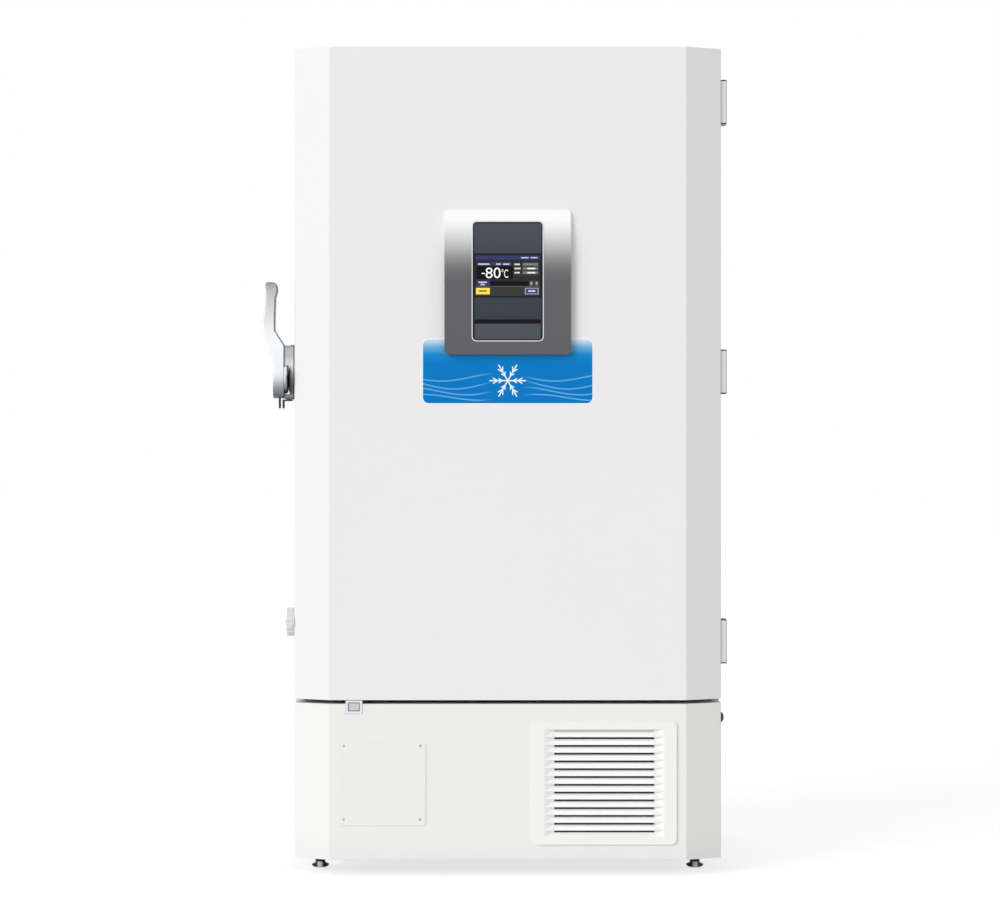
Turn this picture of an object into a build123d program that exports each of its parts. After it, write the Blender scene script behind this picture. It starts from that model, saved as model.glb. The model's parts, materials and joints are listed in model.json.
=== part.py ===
from build123d import *
import os

# Upright ultra low temperature freezer, in millimetres, one STEP file per sub-part.
# The origin is on the floor under the middle of the cabinet. +X is the right side seen from the front,
# +Y the rear and +Z up. The door is shut, the handle locked, and the feet and casters stand on the floor.

# Overall size, without the handle, the hinges and the control bezel
WIDTH = 1030
DEPTH = 882
HEIGHT = 1993

# Sheet metal and walls
SHEET = 1.5
WALL = 80
RETURN = 20
TOUCH = 0.3
PIN_FIT = 0.05

# Front outline shared by the door and the lower panel: a flat middle and two bevelled sides
BEVEL_WIDTH = 86.5
BEVEL_DEPTH = 50
BEVEL_EDGE_RADIUS = 5
DOOR_BOTTOM = 424
DOOR_DEPTH = 115
DOOR_LINER = 2
DOOR_PLUG = 8
DOOR_PLUG_INSET = 72
SEAL_GAP = 12
SEAL_WIDTH = 24
SEAL_INSET = 30

# Insulated box
BACK_STANDOFF = 20
CAVITY_FLOOR = 84.5
CAVITY_RADIUS = 6
COIL_THICKNESS = 12
COIL_HEIGHT = 8
COIL_LOOPS = 7
VACUUM_PANEL = 20
VACUUM_MARGIN = 70

# Breaker frame: the moulded ring that the door seals on, with the collar that holds the inner doors
FRAME_THICKNESS = 8
COLLAR_DEPTH = 48
COLLAR_WALL = 3
STOP_THICKNESS = 4
STOP_WIDTH = 18
MULLION_WEB = 7
MULLION_STOP = 36

# Inner doors
INNER_DOOR_SETBACK = 10
INNER_DOOR_THICKNESS = 34
INNER_DOOR_GAP = 4.5
INNER_SEAL_WIDTH = 14
INNER_SEAL_INSET = 4
INNER_HINGE_INSET = 6
INNER_LUG = 6

# Shelves
SHELF_COUNT = 3
SHELF_SHEET = 2
SHELF_LIP = 20
SHELF_CLEARANCE = 3
RAIL_THICKNESS = 3.8
RAIL_WIDTH = 24
RAIL_SLOTS = 4
CLIP_REACH = 12
CLIP_HEIGHT = 8

# Machine compartment, base, casters and feet
PANEL_GAP = 9
PANEL_BOTTOM = 41
PANEL_WALL = 3
BASE_HEIGHT = 102
BASE_SHEET = 2
WHEEL_RADIUS = 37.5
WHEEL_WIDTH = 26
CASTER_TRAIL = 22
CASTER_INSET = 115
FRONT_CASTER_Y = -118
REAR_CASTER_Y = 330
CASTER_PLATE = 4
RACE_RADIUS = 20
RACE_HEIGHT = 8
FORK_SHEET = 3
FOOT_RADIUS = 22
FOOT_INSET = 55
FOOT_SETBACK = 195
FOOT_NECK = 20
STUD_RADIUS = 6

# Control panel on the door
BEZEL_WIDTH = 303
BEZEL_BOTTOM = 1254
BEZEL_TOP = 1599.5
BEZEL_PROUD = 18
BEZEL_TOP_PROUD = 6
BEZEL_CURVE_START = 1490
BEZEL_RADIUS = 10
WINDOW_WIDTH = 173
WINDOW_BOTTOM = 1284.5
WINDOW_TOP = 1574.4
WINDOW_RADIUS = 12
WINDOW_RIM = 3
RIM_PROUD = 1
FASCIA_SETBACK = 3
SCREEN_WIDTH = 164
SCREEN_BOTTOM = 1390
SCREEN_TOP = 1495.5
FLAP_TOP = 1328
SLOT_TOP = 1337.5
FLAP_THICKNESS = 2.5
FLAP_CHEEK = 4
LABEL_WIDTH = 411
LABEL_BOTTOM = 1134.8
LABEL_TOP = 1292.6
LABEL_RADIUS = 16
LABEL_THICKNESS = 0.5

# Handle and lock on the left side of the door
HANDLE_Z = 1205
HANDLE_HALF_DEPTH = 28
HANDLE_TOP = 1432
HANDLE_FOOT_RADIUS = 55.5
HANDLE_BASE_PLATE = 10
HANDLE_BASE_HEIGHT = 132
HANDLE_BASE_BOTTOM = 1147
HOOK_THICKNESS = 4
HOOK_ROOT_RADIUS = 20
HANDLE_SHAFT_RADIUS = 8
STRIKER_RADIUS = 5
STRIKER_DROP = 15
STRIKER_SETBACK = 29
SIDE_EDGE = 3
SHAFT_END = 44
LEVER_INNER = 25
LEVER_WAIST = 52.5
BASE_EAR = 25.4
LEVER_EAR = 34.4
EAR_THICKNESS = 5
EAR_RADIUS = 9
EAR_DROP = 71
PADLOCK_RADIUS = 4.5

# Vacuum release knob on the left side of the door
KNOB_RADIUS = 34.5
KNOB_REACH = 22
KNOB_SEAT = 3
KNOB_Z = 608.5
KNOB_FLUTES = 10

# Hinges on the right side
HINGE_PROUD = 15
HINGE_HEIGHT = 107
HINGE_BARREL = 7
HINGE_SETBACK = 5
HINGE_LEAF = 45
HINGE_LEAF_GAP = 9
HINGE_PLATE = 66
HINGE_RISE = 84.6
HINGE_DROP = 73.8

# Grille, blank plate, sensor and bumper on the lower panel
GRILLE_WIDTH = 347
GRILLE_BOTTOM = 78
GRILLE_TOP = 374.3
GRILLE_FROM_SIDE = 109.6
GRILLE_RADIUS = 14
GRILLE_PROUD = 5
GRILLE_CORE = 10
GRILLE_LIP = 7.5
LOUVRES = 13
LOUVRE_PITCH = 18.67
LOUVRE_RISE = 7.5
LOUVRE_WIDTH = 240
LOUVRE_END = 24
LOUVRE_DEPTH = 10
LOUVRE_MOUTH = 6
PLATE_FROM_SIDE = 107.4
PLATE_WIDTH = 211
PLATE_BOTTOM = 123
PLATE_TOP = 322
SENSOR_FROM_SIDE = 146
SENSOR_WIDTH = 40
SENSOR_BOTTOM = 391.5
SENSOR_WINDOW_WIDTH = 27
SENSOR_WINDOW = (398.5, 418)
SENSOR_DEPTH = 30
RAIL_REACH = 12
RAIL_SHEET = 2.5
RAIL_HALF = 150
BUMPER_Z = 377
BUMPER_RADIUS = 13.5
BUMPER_RISE = 9
BUMPER_SETBACK = 86

# Machinery behind the lower panel
CONDENSER_SETBACK = 8
CONDENSER_DEPTH = 44
CONDENSER_WIDTH = 300
CONDENSER_FINS = 16
HEADER_WIDTH = 12
FAN_RADIUS = 102
FAN_DEPTH = 24
FAN_BLADES = 5
FAN_HUB = 26
MOTOR_RADIUS = 36
COMPRESSOR_RADIUS = 85
COMPRESSOR_SPOTS = [(-120, 150), (190, 190)]
COMPRESSOR_FOOT = 8
COMPRESSOR_TOP = 216
TUBE_RADIUS = 5
CONTROL_BOX_INSET = 100
CONTROL_BOX_WIDTH = 220
CONTROL_BOX_DEPTH = 120

# Rear of the cabinet
ANCHOR_HOLE_RADIUS = 5.5
ANCHOR_DROP = 90
INLET_HEIGHT = 80
PORT_RADIUS = 24

# Sizes that follow from the ones above
HALF = WIDTH / 2
FRONT = -DEPTH / 2
DOOR_BACK = FRONT + DOOR_DEPTH
CABINET_FRONT = DOOR_BACK + SEAL_GAP
CABINET_BACK = DEPTH / 2 - BACK_STANDOFF
INSIDE = HALF - SHEET
PANEL_TOP = DOOR_BOTTOM - PANEL_GAP
PANEL_BACK = CABINET_FRONT - TOUCH
CAVITY_HALF = HALF - WALL
CAVITY_BOTTOM = DOOR_BOTTOM + CAVITY_FLOOR
CAVITY_TOP = HEIGHT - CAVITY_FLOOR
CAVITY_BACK = CABINET_BACK - WALL
CAVITY_HEIGHT = CAVITY_TOP - CAVITY_BOTTOM
FRAME_BACK = CABINET_FRONT + FRAME_THICKNESS
COLLAR_BACK = FRAME_BACK + COLLAR_DEPTH
COLLAR_HALF = CAVITY_HALF - COLLAR_WALL
COLLAR_BOTTOM = CAVITY_BOTTOM + COLLAR_WALL
COLLAR_TOP = CAVITY_TOP - COLLAR_WALL
STOP_FRONT = COLLAR_BACK - STOP_THICKNESS
INNER_FRONT = CABINET_FRONT + INNER_DOOR_SETBACK
INNER_BACK = INNER_FRONT + INNER_DOOR_THICKNESS
INNER_RIGHT = COLLAR_HALF - INNER_DOOR_GAP
INNER_HINGE_X = INNER_RIGHT - INNER_HINGE_INSET
INNER_HINGE_Y = INNER_FRONT + INNER_HINGE_INSET
SHELF_SPACING = CAVITY_HEIGHT / (SHELF_COUNT + 1)
MIDDLE_SHELF_Z = CAVITY_BOTTOM + SHELF_SPACING * 2
RAIL_FACE = CAVITY_HALF - RAIL_THICKNESS
HINGE_X = HALF + HINGE_PROUD - HINGE_BARREL
HINGE_Y = DOOR_BACK - HINGE_SETBACK
SIDE_MIDDLE_Y = (FRONT + BEVEL_DEPTH + DOOR_BACK - SIDE_EDGE) / 2
LOW_HINGE = DOOR_BOTTOM + HINGE_RISE
HIGH_HINGE = HEIGHT - HINGE_DROP - HINGE_HEIGHT
HINGE_BOTTOMS = [LOW_HINGE, (LOW_HINGE + HIGH_HINGE) / 2, HIGH_HINGE]
STRIKER_Y = CABINET_FRONT + STRIKER_SETBACK
STRIKER_Z = HANDLE_Z - STRIKER_DROP
GRILLE_X = HALF - GRILLE_FROM_SIDE - GRILLE_WIDTH / 2
GRILLE_Z = (GRILLE_BOTTOM + GRILLE_TOP) / 2
GRILLE_FRONT = FRONT - GRILLE_PROUD
CASTER_X = HALF - CASTER_INSET
FOOT_X = HALF - FOOT_INSET
FOOT_Y = FRONT + FOOT_SETBACK
FASCIA_FRONT = FRONT - BEZEL_PROUD + FASCIA_SETBACK
FLAP_BOTTOM = WINDOW_BOTTOM + WINDOW_RIM + 2
FLAP_HALF = WINDOW_WIDTH / 2 - WINDOW_RIM - FLAP_CHEEK
FLAP_HINGE_Z = FLAP_BOTTOM + 2
FLAP_HINGE_Y = FASCIA_FRONT + FLAP_THICKNESS / 2
FLOOR = BASE_HEIGHT + BASE_SHEET
CONDENSER_Y = (CABINET_FRONT + CONDENSER_SETBACK, CABINET_FRONT + CONDENSER_SETBACK + CONDENSER_DEPTH)
CONDENSER_Z = (FLOOR, DOOR_BOTTOM - 40)
SHROUD_Y = (CONDENSER_Y[1] + 4, CONDENSER_Y[1] + 7)
FAN_Z = (CONDENSER_Z[0] + CONDENSER_Z[1]) / 2
FAN_Y = (SHROUD_Y[1] + 6, SHROUD_Y[1] + 6 + FAN_DEPTH)
ANCHOR_X = HALF * 0.68
ANCHOR_Z = HEIGHT - ANCHOR_DROP
INLET_X = -HALF * 0.8
INLET_Z = BASE_HEIGHT + INLET_HEIGHT
PORT_X = HALF * 0.78
PORT_Z = HEIGHT * 0.8


# Small helpers: each takes ranges as (low, high) pairs

def slab(x, y, z):
    """A box between two corners."""
    size = [high - low for low, high in (x, y, z)]
    centre = [(high + low) / 2 for low, high in (x, y, z)]
    return Pos(*centre) * Box(*size)


def both(half):
    """A range with the same reach to both sides of the middle."""
    return (-half, half)


def grow(span, amount):
    """A range made longer by the same amount at both ends."""
    return (span[0] - amount, span[1] + amount)


def plan_prism(sketch, z):
    """A plan outline run upwards over the range z."""
    return extrude(Plane.XY.offset(z[0]) * sketch, amount=z[1] - z[0], dir=(0, 0, 1))


def front_prism(sketch, y):
    """An outline drawn in X and Z as seen from the front, run through the depth range y."""
    return extrude(Plane.XZ.offset(-y[1]) * sketch, amount=y[1] - y[0], dir=(0, -1, 0))


def side_prism(sketch, x):
    """An outline drawn in Y and Z, run sideways over the range x."""
    return extrude(Plane.YZ.offset(x[0]) * sketch, amount=x[1] - x[0], dir=(1, 0, 0))


def rounded(x, z, radius):
    """A rounded rectangle between two corners, for use in any of the three views."""
    shape = RectangleRounded(x[1] - x[0], z[1] - z[0], radius)
    return Pos((x[0] + x[1]) / 2, (z[0] + z[1]) / 2) * shape


def ring(x, z, width, radius):
    """A rounded rectangular frame of one width."""
    inner = rounded(grow(x, -width), grow(z, -width), max(radius - width, 1))
    return rounded(x, z, radius) - inner


def rod_x(x, y, z, radius):
    """A round bar along X over the range x."""
    return side_prism(Pos(y, z) * Circle(radius), x)


def rod_y(x, y, z, radius):
    """A round bar along Y over the range y."""
    return front_prism(Pos(x, z) * Circle(radius), y)


def rod_z(x, y, z, radius):
    """A round bar along Z over the range z."""
    return plan_prism(Pos(x, y) * Circle(radius), z)


def front_outline(inset, back):
    """Plan outline of the door and of the lower panel, moved inwards by a wall."""
    points = [
        (-HALF, back + inset),
        (-HALF, FRONT + BEVEL_DEPTH),
        (BEVEL_WIDTH - HALF, FRONT),
        (HALF - BEVEL_WIDTH, FRONT),
        (HALF, FRONT + BEVEL_DEPTH),
        (HALF, back + inset),
    ]
    outline = Polygon(*points, align=None)
    if inset:
        return offset(outline, amount=-inset, kind=Kind.INTERSECTION)
    return fillet(outline.vertices().sort_by(Axis.Y)[:4], BEVEL_EDGE_RADIUS)


# Cabinet shell and insulation

def side_panel(side):
    """Folded outer sheet with returns at the front and the rear."""
    z = (BASE_HEIGHT, HEIGHT - SHEET)
    back = CABINET_BACK - SHEET
    sheet = slab((INSIDE, HALF), (CABINET_FRONT, back), z)
    sheet += slab((HALF - RETURN, INSIDE), (CABINET_FRONT, CABINET_FRONT + SHEET), z)
    sheet += slab((HALF - RETURN, INSIDE), (back - SHEET, back), z)
    return sheet if side > 0 else mirror(sheet, about=Plane.YZ)


def top_panel():
    """Top sheet with a front return between the two sides."""
    top = slab(both(HALF), (CABINET_FRONT, CABINET_BACK), (HEIGHT - SHEET, HEIGHT))
    lip = (HEIGHT - SHEET - RETURN, HEIGHT - SHEET)
    return top + slab(both(HALF - RETURN), (CABINET_FRONT, CABINET_FRONT + SHEET), lip)


def back_panel():
    """Flat rear sheet with two pressed stiffening ribs."""
    y = (CABINET_BACK - SHEET, CABINET_BACK)
    panel = slab(both(HALF), y, (DOOR_BOTTOM, HEIGHT - SHEET))
    rib_z = (DOOR_BOTTOM + 150, HEIGHT - 250)
    for x in (-HALF / 2, HALF / 2):
        panel += slab((x - 30, x + 30), (CABINET_BACK, CABINET_BACK + 4), rib_z)
    return panel


def compartment_deck():
    """Sheet floor of the insulated box, over the machine compartment."""
    front = CABINET_FRONT + SHEET
    deck = slab(both(INSIDE), (front, CABINET_BACK - 2 * SHEET), (DOOR_BOTTOM, DOOR_BOTTOM + SHEET))
    lip = slab(both(HALF - RETURN), (CABINET_FRONT, front), (DOOR_BOTTOM, DOOR_BOTTOM + RETURN))
    return deck + lip


def vacuum_panel_ranges():
    """Place of each flat vacuum panel inside the foam: two sides, back, top and bottom."""
    side = HALF - WALL / 2 + VACUUM_PANEL / 2
    y = (CABINET_FRONT + VACUUM_MARGIN, CAVITY_BACK)
    z = (CAVITY_BOTTOM, CAVITY_TOP)
    back = CABINET_BACK - WALL / 2 + VACUUM_PANEL / 2
    top = HEIGHT - CAVITY_FLOOR / 2 + VACUUM_PANEL / 2
    bottom = DOOR_BOTTOM + CAVITY_FLOOR / 2 - VACUUM_PANEL / 2
    flat = both(CAVITY_HALF - VACUUM_MARGIN)
    return [
        ((side - VACUUM_PANEL, side), y, z),
        ((-side, VACUUM_PANEL - side), y, z),
        (flat, (back - VACUUM_PANEL, back), z),
        (flat, y, (top - VACUUM_PANEL, top)),
        (flat, y, (bottom, bottom + VACUUM_PANEL)),
    ]


def vacuum_panels():
    """Flat evacuated panels, each a separate slab."""
    return Part(children=[slab(x, y, z) for x, y, z in vacuum_panel_ranges()])


def foam_insulation():
    """Foam between the outer sheets and the liner, with room for the coil and the panels."""
    front = CABINET_FRONT + SHEET
    foam = slab(both(INSIDE), (front, CABINET_BACK - 2 * SHEET), (DOOR_BOTTOM + SHEET, HEIGHT - SHEET))
    seat_z = (DOOR_BOTTOM + RETURN, HEIGHT - SHEET - RETURN)
    foam -= slab(both(HALF - RETURN), (front - 1, FRAME_BACK), seat_z)
    room = SHEET + COIL_THICKNESS
    cavity_z = (CAVITY_BOTTOM - room, CAVITY_TOP + room)
    foam -= slab(both(CAVITY_HALF + room), (front - 1, CAVITY_BACK + room), cavity_z)
    for x, y, z in vacuum_panel_ranges():
        foam -= slab(grow(x, TOUCH), grow(y, TOUCH), grow(z, TOUCH))
    return foam


def inner_liner():
    """Sheet tub of the cold space, open at the front."""
    x = both(CAVITY_HALF)
    z = (CAVITY_BOTTOM, CAVITY_TOP)
    tub = slab(grow(x, SHEET), (FRAME_BACK, CAVITY_BACK + SHEET), grow(z, SHEET))
    return tub - front_prism(rounded(x, z, CAVITY_RADIUS), (FRAME_BACK - 1, CAVITY_BACK))


def evaporator_coil():
    """Flattened tube wound round the sides and the back of the liner, joined up and down in turn."""
    inner_half = CAVITY_HALF + SHEET
    outer_half = inner_half + COIL_THICKNESS
    back = CAVITY_BACK + SHEET
    front = FRAME_BACK + 110
    pitch = (CAVITY_HEIGHT - 160) / (COIL_LOOPS - 1)
    coil = Part()
    for turn in range(COIL_LOOPS):
        z = CAVITY_BOTTOM + 80 + turn * pitch
        level = (z, z + COIL_HEIGHT)
        coil += slab(both(outer_half), (back, back + COIL_THICKNESS), level)
        coil += slab((-outer_half, -inner_half), (front, back), level)
        coil += slab((inner_half, outer_half), (front, back), level)
        if turn < COIL_LOOPS - 1:
            x = (inner_half, outer_half) if turn % 2 else (-outer_half, -inner_half)
            coil += slab(x, (front, front + COIL_HEIGHT), (z, z + pitch))
    return coil


def breaker_frame():
    """Ring that the door seals on, with a collar, door stops, a mullion and the inner hinge lugs."""
    flange_x = both(HALF - RETURN - TOUCH)
    flange_z = (DOOR_BOTTOM + RETURN + TOUCH, HEIGHT - SHEET - RETURN - TOUCH)
    collar_x = both(COLLAR_HALF)
    collar_z = (COLLAR_BOTTOM, COLLAR_TOP)
    wall = COLLAR_WALL - TOUCH / 2
    frame = slab(flange_x, (CABINET_FRONT, FRAME_BACK), flange_z)
    collar = rounded(grow(collar_x, wall), grow(collar_z, wall), CAVITY_RADIUS)
    frame += front_prism(collar, (FRAME_BACK, COLLAR_BACK))
    frame -= slab(collar_x, (CABINET_FRONT - 1, STOP_FRONT), collar_z)
    frame -= slab(grow(collar_x, -STOP_WIDTH), (STOP_FRONT - 1, COLLAR_BACK + 1), grow(collar_z, -STOP_WIDTH))
    web_z = (MIDDLE_SHELF_Z - MULLION_WEB / 2, MIDDLE_SHELF_Z + MULLION_WEB / 2)
    frame += slab(collar_x, (INNER_FRONT + 4, STOP_FRONT), web_z)
    stop_z = (MIDDLE_SHELF_Z - MULLION_STOP / 2, MIDDLE_SHELF_Z + MULLION_STOP / 2)
    frame += slab(collar_x, (STOP_FRONT, COLLAR_BACK), stop_z)
    lug = INNER_DOOR_GAP - TOUCH
    low_lug = (COLLAR_BOTTOM - 1, COLLAR_BOTTOM + lug)
    high_lug = (COLLAR_TOP - lug, COLLAR_TOP + 1)
    middle_lug = grow(web_z, lug)
    reach = (INNER_HINGE_X - INNER_LUG, INNER_HINGE_X + INNER_LUG)
    for z in (low_lug, middle_lug, high_lug):
        frame += slab(reach, (INNER_FRONT, INNER_HINGE_Y + INNER_LUG), z)
    return frame


# Shelves and their rails

def shelf_z(number):
    """Height of a shelf's top, counted from the lowest shelf."""
    return CAVITY_BOTTOM + SHELF_SPACING * (number + 1)


def shelf(number):
    """Pressed steel shelf with a lip folded down all round."""
    top = shelf_z(number)
    x = both(RAIL_FACE - SHELF_CLEARANCE)
    y = (COLLAR_BACK + SHELF_CLEARANCE, CAVITY_BACK - SHELF_CLEARANCE)
    pan = slab(x, y, (top - SHELF_LIP, top))
    return pan - slab(grow(x, -SHELF_SHEET), grow(y, -SHELF_SHEET), (top - SHELF_LIP - 1, top - SHELF_SHEET))


def shelf_rails():
    """Four slotted strips on the side walls, each with a clip under every shelf."""
    z = (CAVITY_BOTTOM + 25, CAVITY_TOP - 25)
    pitch = (z[1] - z[0]) / RAIL_SLOTS
    rails = Part()
    for y in (COLLAR_BACK + 60, CAVITY_BACK - 60):
        span = (y - RAIL_WIDTH / 2, y + RAIL_WIDTH / 2)
        rail = slab((RAIL_FACE, CAVITY_HALF), span, z)
        for slot in range(RAIL_SLOTS):
            low = z[0] + pitch * (slot + 0.2)
            rail -= slab((RAIL_FACE - 1, CAVITY_HALF + 1), (y - 3, y + 3), (low, low + pitch * 0.6))
        for number in range(SHELF_COUNT):
            seat = shelf_z(number) - SHELF_LIP
            x = (RAIL_FACE - CLIP_REACH, RAIL_FACE)
            rail += slab(x, (y - 8, y + 8), (seat - CLIP_HEIGHT, seat))
        rails += rail
    return rails + mirror(rails, about=Plane.YZ)


# Inner doors

def inner_door_span(upper):
    """Height range of one inner door."""
    middle = MIDDLE_SHELF_Z + (MULLION_WEB / 2 + INNER_DOOR_GAP) * (1 if upper else -1)
    if upper:
        return (middle, COLLAR_TOP - INNER_DOOR_GAP)
    return (COLLAR_BOTTOM + INNER_DOOR_GAP, middle)


def inner_door(upper):
    """Foamed inner door with a pressed front field and a finger grip."""
    z = inner_door_span(upper)
    x = (INNER_DOOR_GAP - COLLAR_HALF, INNER_RIGHT)
    y = (INNER_FRONT, INNER_BACK)
    door = slab(x, y, z)
    field = rounded(grow(x, -45), grow(z, -45), 20)
    door -= front_prism(field, (INNER_FRONT - 1, INNER_FRONT + 3))
    middle = (z[0] + z[1]) / 2
    grip = ((x[0] + 8, x[0] + 30), (INNER_FRONT - 1, INNER_FRONT + 12), (middle - 60, middle + 60))
    return door - slab(*grip)


def inner_gasket(upper):
    """Soft seal on the back of an inner door."""
    x = (INNER_DOOR_GAP - COLLAR_HALF, INNER_RIGHT)
    x = grow(x, -INNER_SEAL_INSET)
    z = grow(inner_door_span(upper), -INNER_SEAL_INSET)
    y = (INNER_BACK, STOP_FRONT - TOUCH)
    return slab(x, y, z) - slab(grow(x, -INNER_SEAL_WIDTH), grow(y, 1), grow(z, -INNER_SEAL_WIDTH))


# Outer door

def door_skin():
    """Folded outer sheet of the door, open at the rear."""
    z = (DOOR_BOTTOM, HEIGHT)
    skin = plan_prism(front_outline(0, DOOR_BACK), z)
    hollow = plan_prism(front_outline(SHEET, DOOR_BACK + 5), grow(z, -SHEET))
    return skin - hollow


def door_foam():
    """Foam core that fills the door up to its liner."""
    z = grow((DOOR_BOTTOM, HEIGHT), -SHEET)
    return plan_prism(front_outline(SHEET, DOOR_BACK - DOOR_LINER), z)


def door_liner():
    """Rear sheet of the door with a raised plug inside the seal."""
    z = grow((DOOR_BOTTOM, HEIGHT), -SHEET)
    liner = slab(both(INSIDE), (DOOR_BACK - DOOR_LINER, DOOR_BACK), z)
    rear = Plane(origin=(0, DOOR_BACK, 0), x_dir=(-1, 0, 0), z_dir=(0, 1, 0))
    plug = rounded(both(HALF - DOOR_PLUG_INSET), grow(z, -DOOR_PLUG_INSET), 25)
    return liner + extrude(rear * plug, amount=DOOR_PLUG, taper=30)


def door_gasket():
    """Soft seal of the door with a groove along its contact face."""
    x = both(HALF - SEAL_INSET)
    z = grow((DOOR_BOTTOM, HEIGHT), -SEAL_INSET)
    back = CABINET_FRONT - TOUCH
    seal = front_prism(ring(x, z, SEAL_WIDTH, 14), (DOOR_BACK, back))
    third = SEAL_WIDTH / 3
    groove = slab(grow(x, -third), (back - 3, back + 1), grow(z, -third))
    groove -= slab(grow(x, -2 * third), (back - 4, back + 2), grow(z, -2 * third))
    return seal - groove


def hinge_leaf_door():
    """Three hinge blocks on the side of the door, each with a barrel that stands on the cabinet's barrel."""
    leaves = Part()
    rear = HINGE_Y - HINGE_LEAF_GAP
    front = rear - HINGE_LEAF
    for bottom in HINGE_BOTTOMS:
        z = (bottom, bottom + HINGE_HEIGHT)
        leaf = slab((HALF, HALF + HINGE_PROUD - 1), (front, rear), z)
        upper = (bottom + HINGE_HEIGHT / 2 + TOUCH, z[1])
        leaf += slab((HALF + 2, HALF + HINGE_PROUD - 2), (rear - 3, HINGE_Y), upper)
        leaf += rod_z(HINGE_X, HINGE_Y, upper, HINGE_BARREL)
        leaves += leaf
    return leaves


def cabinet_hinge_leaves():
    """Three hinge plates on the side of the cabinet, each with the lower barrel of its hinge."""
    leaves = Part()
    plate_front = HINGE_Y + 10
    for bottom in HINGE_BOTTOMS:
        z = (bottom, bottom + HINGE_HEIGHT)
        leaf = slab((HALF, HALF + 4), (plate_front, plate_front + HINGE_PLATE), z)
        lower = (bottom, bottom + HINGE_HEIGHT / 2)
        leaf += slab((HALF + 1, HINGE_X), (HINGE_Y, plate_front + 2), lower)
        leaf += rod_z(HINGE_X, HINGE_Y, lower, HINGE_BARREL)
        leaves += leaf
    return leaves


# Control panel

def bezel_form(setback):
    """Curved front form of the control panel, moved back by a setback, with a rounded-over top."""
    front = FRONT - BEZEL_PROUD + setback
    top_front = FRONT - BEZEL_TOP_PROUD + setback
    low = (front, BEZEL_BOTTOM)
    start = (front, BEZEL_CURVE_START)
    end = (top_front, BEZEL_TOP)
    flat = Line(low, start)
    curve = TangentArc(start, end, tangent=(0, 1))
    rest = Polyline(end, (FRONT, BEZEL_TOP), (FRONT, BEZEL_BOTTOM), low)
    return side_prism(make_face([flat, curve, *rest.edges()]), both(BEZEL_WIDTH / 2))


def window(inset):
    """Outline of the control window."""
    x = both(WINDOW_WIDTH / 2 - inset)
    return rounded(x, (WINDOW_BOTTOM + inset, WINDOW_TOP - inset), WINDOW_RADIUS - inset)


def through_bezel(sketch):
    """A front outline run through the whole thickness of the control panel."""
    return front_prism(sketch, (FRONT - BEZEL_PROUD - 5, FRONT + 1))


def control_bezel():
    """Curved surround of the control panel with a raised rim round its window."""
    outline = rounded(both(BEZEL_WIDTH / 2), (BEZEL_BOTTOM, BEZEL_TOP), BEZEL_RADIUS)
    body = bezel_form(0) & front_prism(outline, (FRONT - BEZEL_PROUD - 5, FRONT))
    rim = bezel_form(-RIM_PROUD) & front_prism(window(0) - window(WINDOW_RIM), (FRONT - 50, FRONT))
    return body - through_bezel(window(0)) + rim


def fascia_cut(z, y):
    """A cut across the fascia between its two cheeks."""
    return slab(both(FLAP_HALF), y, z)


def fascia_part(z):
    """The filling of the window over the height range z."""
    body = bezel_form(FASCIA_SETBACK) & front_prism(window(WINDOW_RIM), (FRONT - 50, FRONT))
    return body & slab(both(WINDOW_WIDTH), (FRONT - 50, FRONT), z)


def control_fascia():
    """Dark fascia in the window above the slot, with a seat for the screen."""
    screen_z = grow((SCREEN_BOTTOM, SCREEN_TOP), TOUCH)
    seat = slab(both(SCREEN_WIDTH / 2 + TOUCH), (FASCIA_FRONT - 1, FASCIA_FRONT + 2), screen_z)
    return fascia_part((SLOT_TOP, WINDOW_TOP)) - seat


def port_bay():
    """Lower end of the fascia, with the card slot along its top and the port pocket."""
    body = fascia_part((WINDOW_BOTTOM, SLOT_TOP))
    body -= fascia_cut((FLAP_TOP, SLOT_TOP + 1), (FASCIA_FRONT - 1, FASCIA_FRONT + 4))
    seat_y = (FASCIA_FRONT - 5, FASCIA_FRONT + FLAP_THICKNESS + 1.5)
    body -= fascia_cut((FLAP_BOTTOM - 2 * TOUCH, FLAP_TOP), seat_y)
    return body - slab(both(FLAP_HALF - 10), (FASCIA_FRONT - 5, FRONT - 2), (FLAP_BOTTOM + 6, FLAP_TOP - 5))


def touch_screen():
    """Flat touch screen set into the fascia."""
    return slab(both(SCREEN_WIDTH / 2), (FASCIA_FRONT - 0.2, FASCIA_FRONT + 2), (SCREEN_BOTTOM, SCREEN_TOP))


def usb_flap():
    """Cover of the port pocket, hinged along its lower edge between the fascia's cheeks."""
    y = (FASCIA_FRONT, FASCIA_FRONT + FLAP_THICKNESS)
    return slab(both(FLAP_HALF - TOUCH), y, (FLAP_BOTTOM, FLAP_TOP - 2 * TOUCH))


def front_label():
    """Wide label on the door, with its top edge cut to the control bezel."""
    outline = rounded(both(LABEL_WIDTH / 2), (LABEL_BOTTOM, LABEL_TOP), LABEL_RADIUS)
    bezel = rounded(both(BEZEL_WIDTH / 2), (BEZEL_BOTTOM, BEZEL_TOP), BEZEL_RADIUS)
    outline -= offset(bezel, amount=TOUCH)
    return front_prism(outline, (FRONT - LABEL_THICKNESS, FRONT))


# Handle, lock and vacuum release, on the left side: u is the distance out from the door's side

def out(u):
    """X of a point u outside the left side of the door."""
    return -HALF - u


def span_out(low, high):
    """X range from u = low to u = high."""
    return (out(high), out(low))


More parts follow.
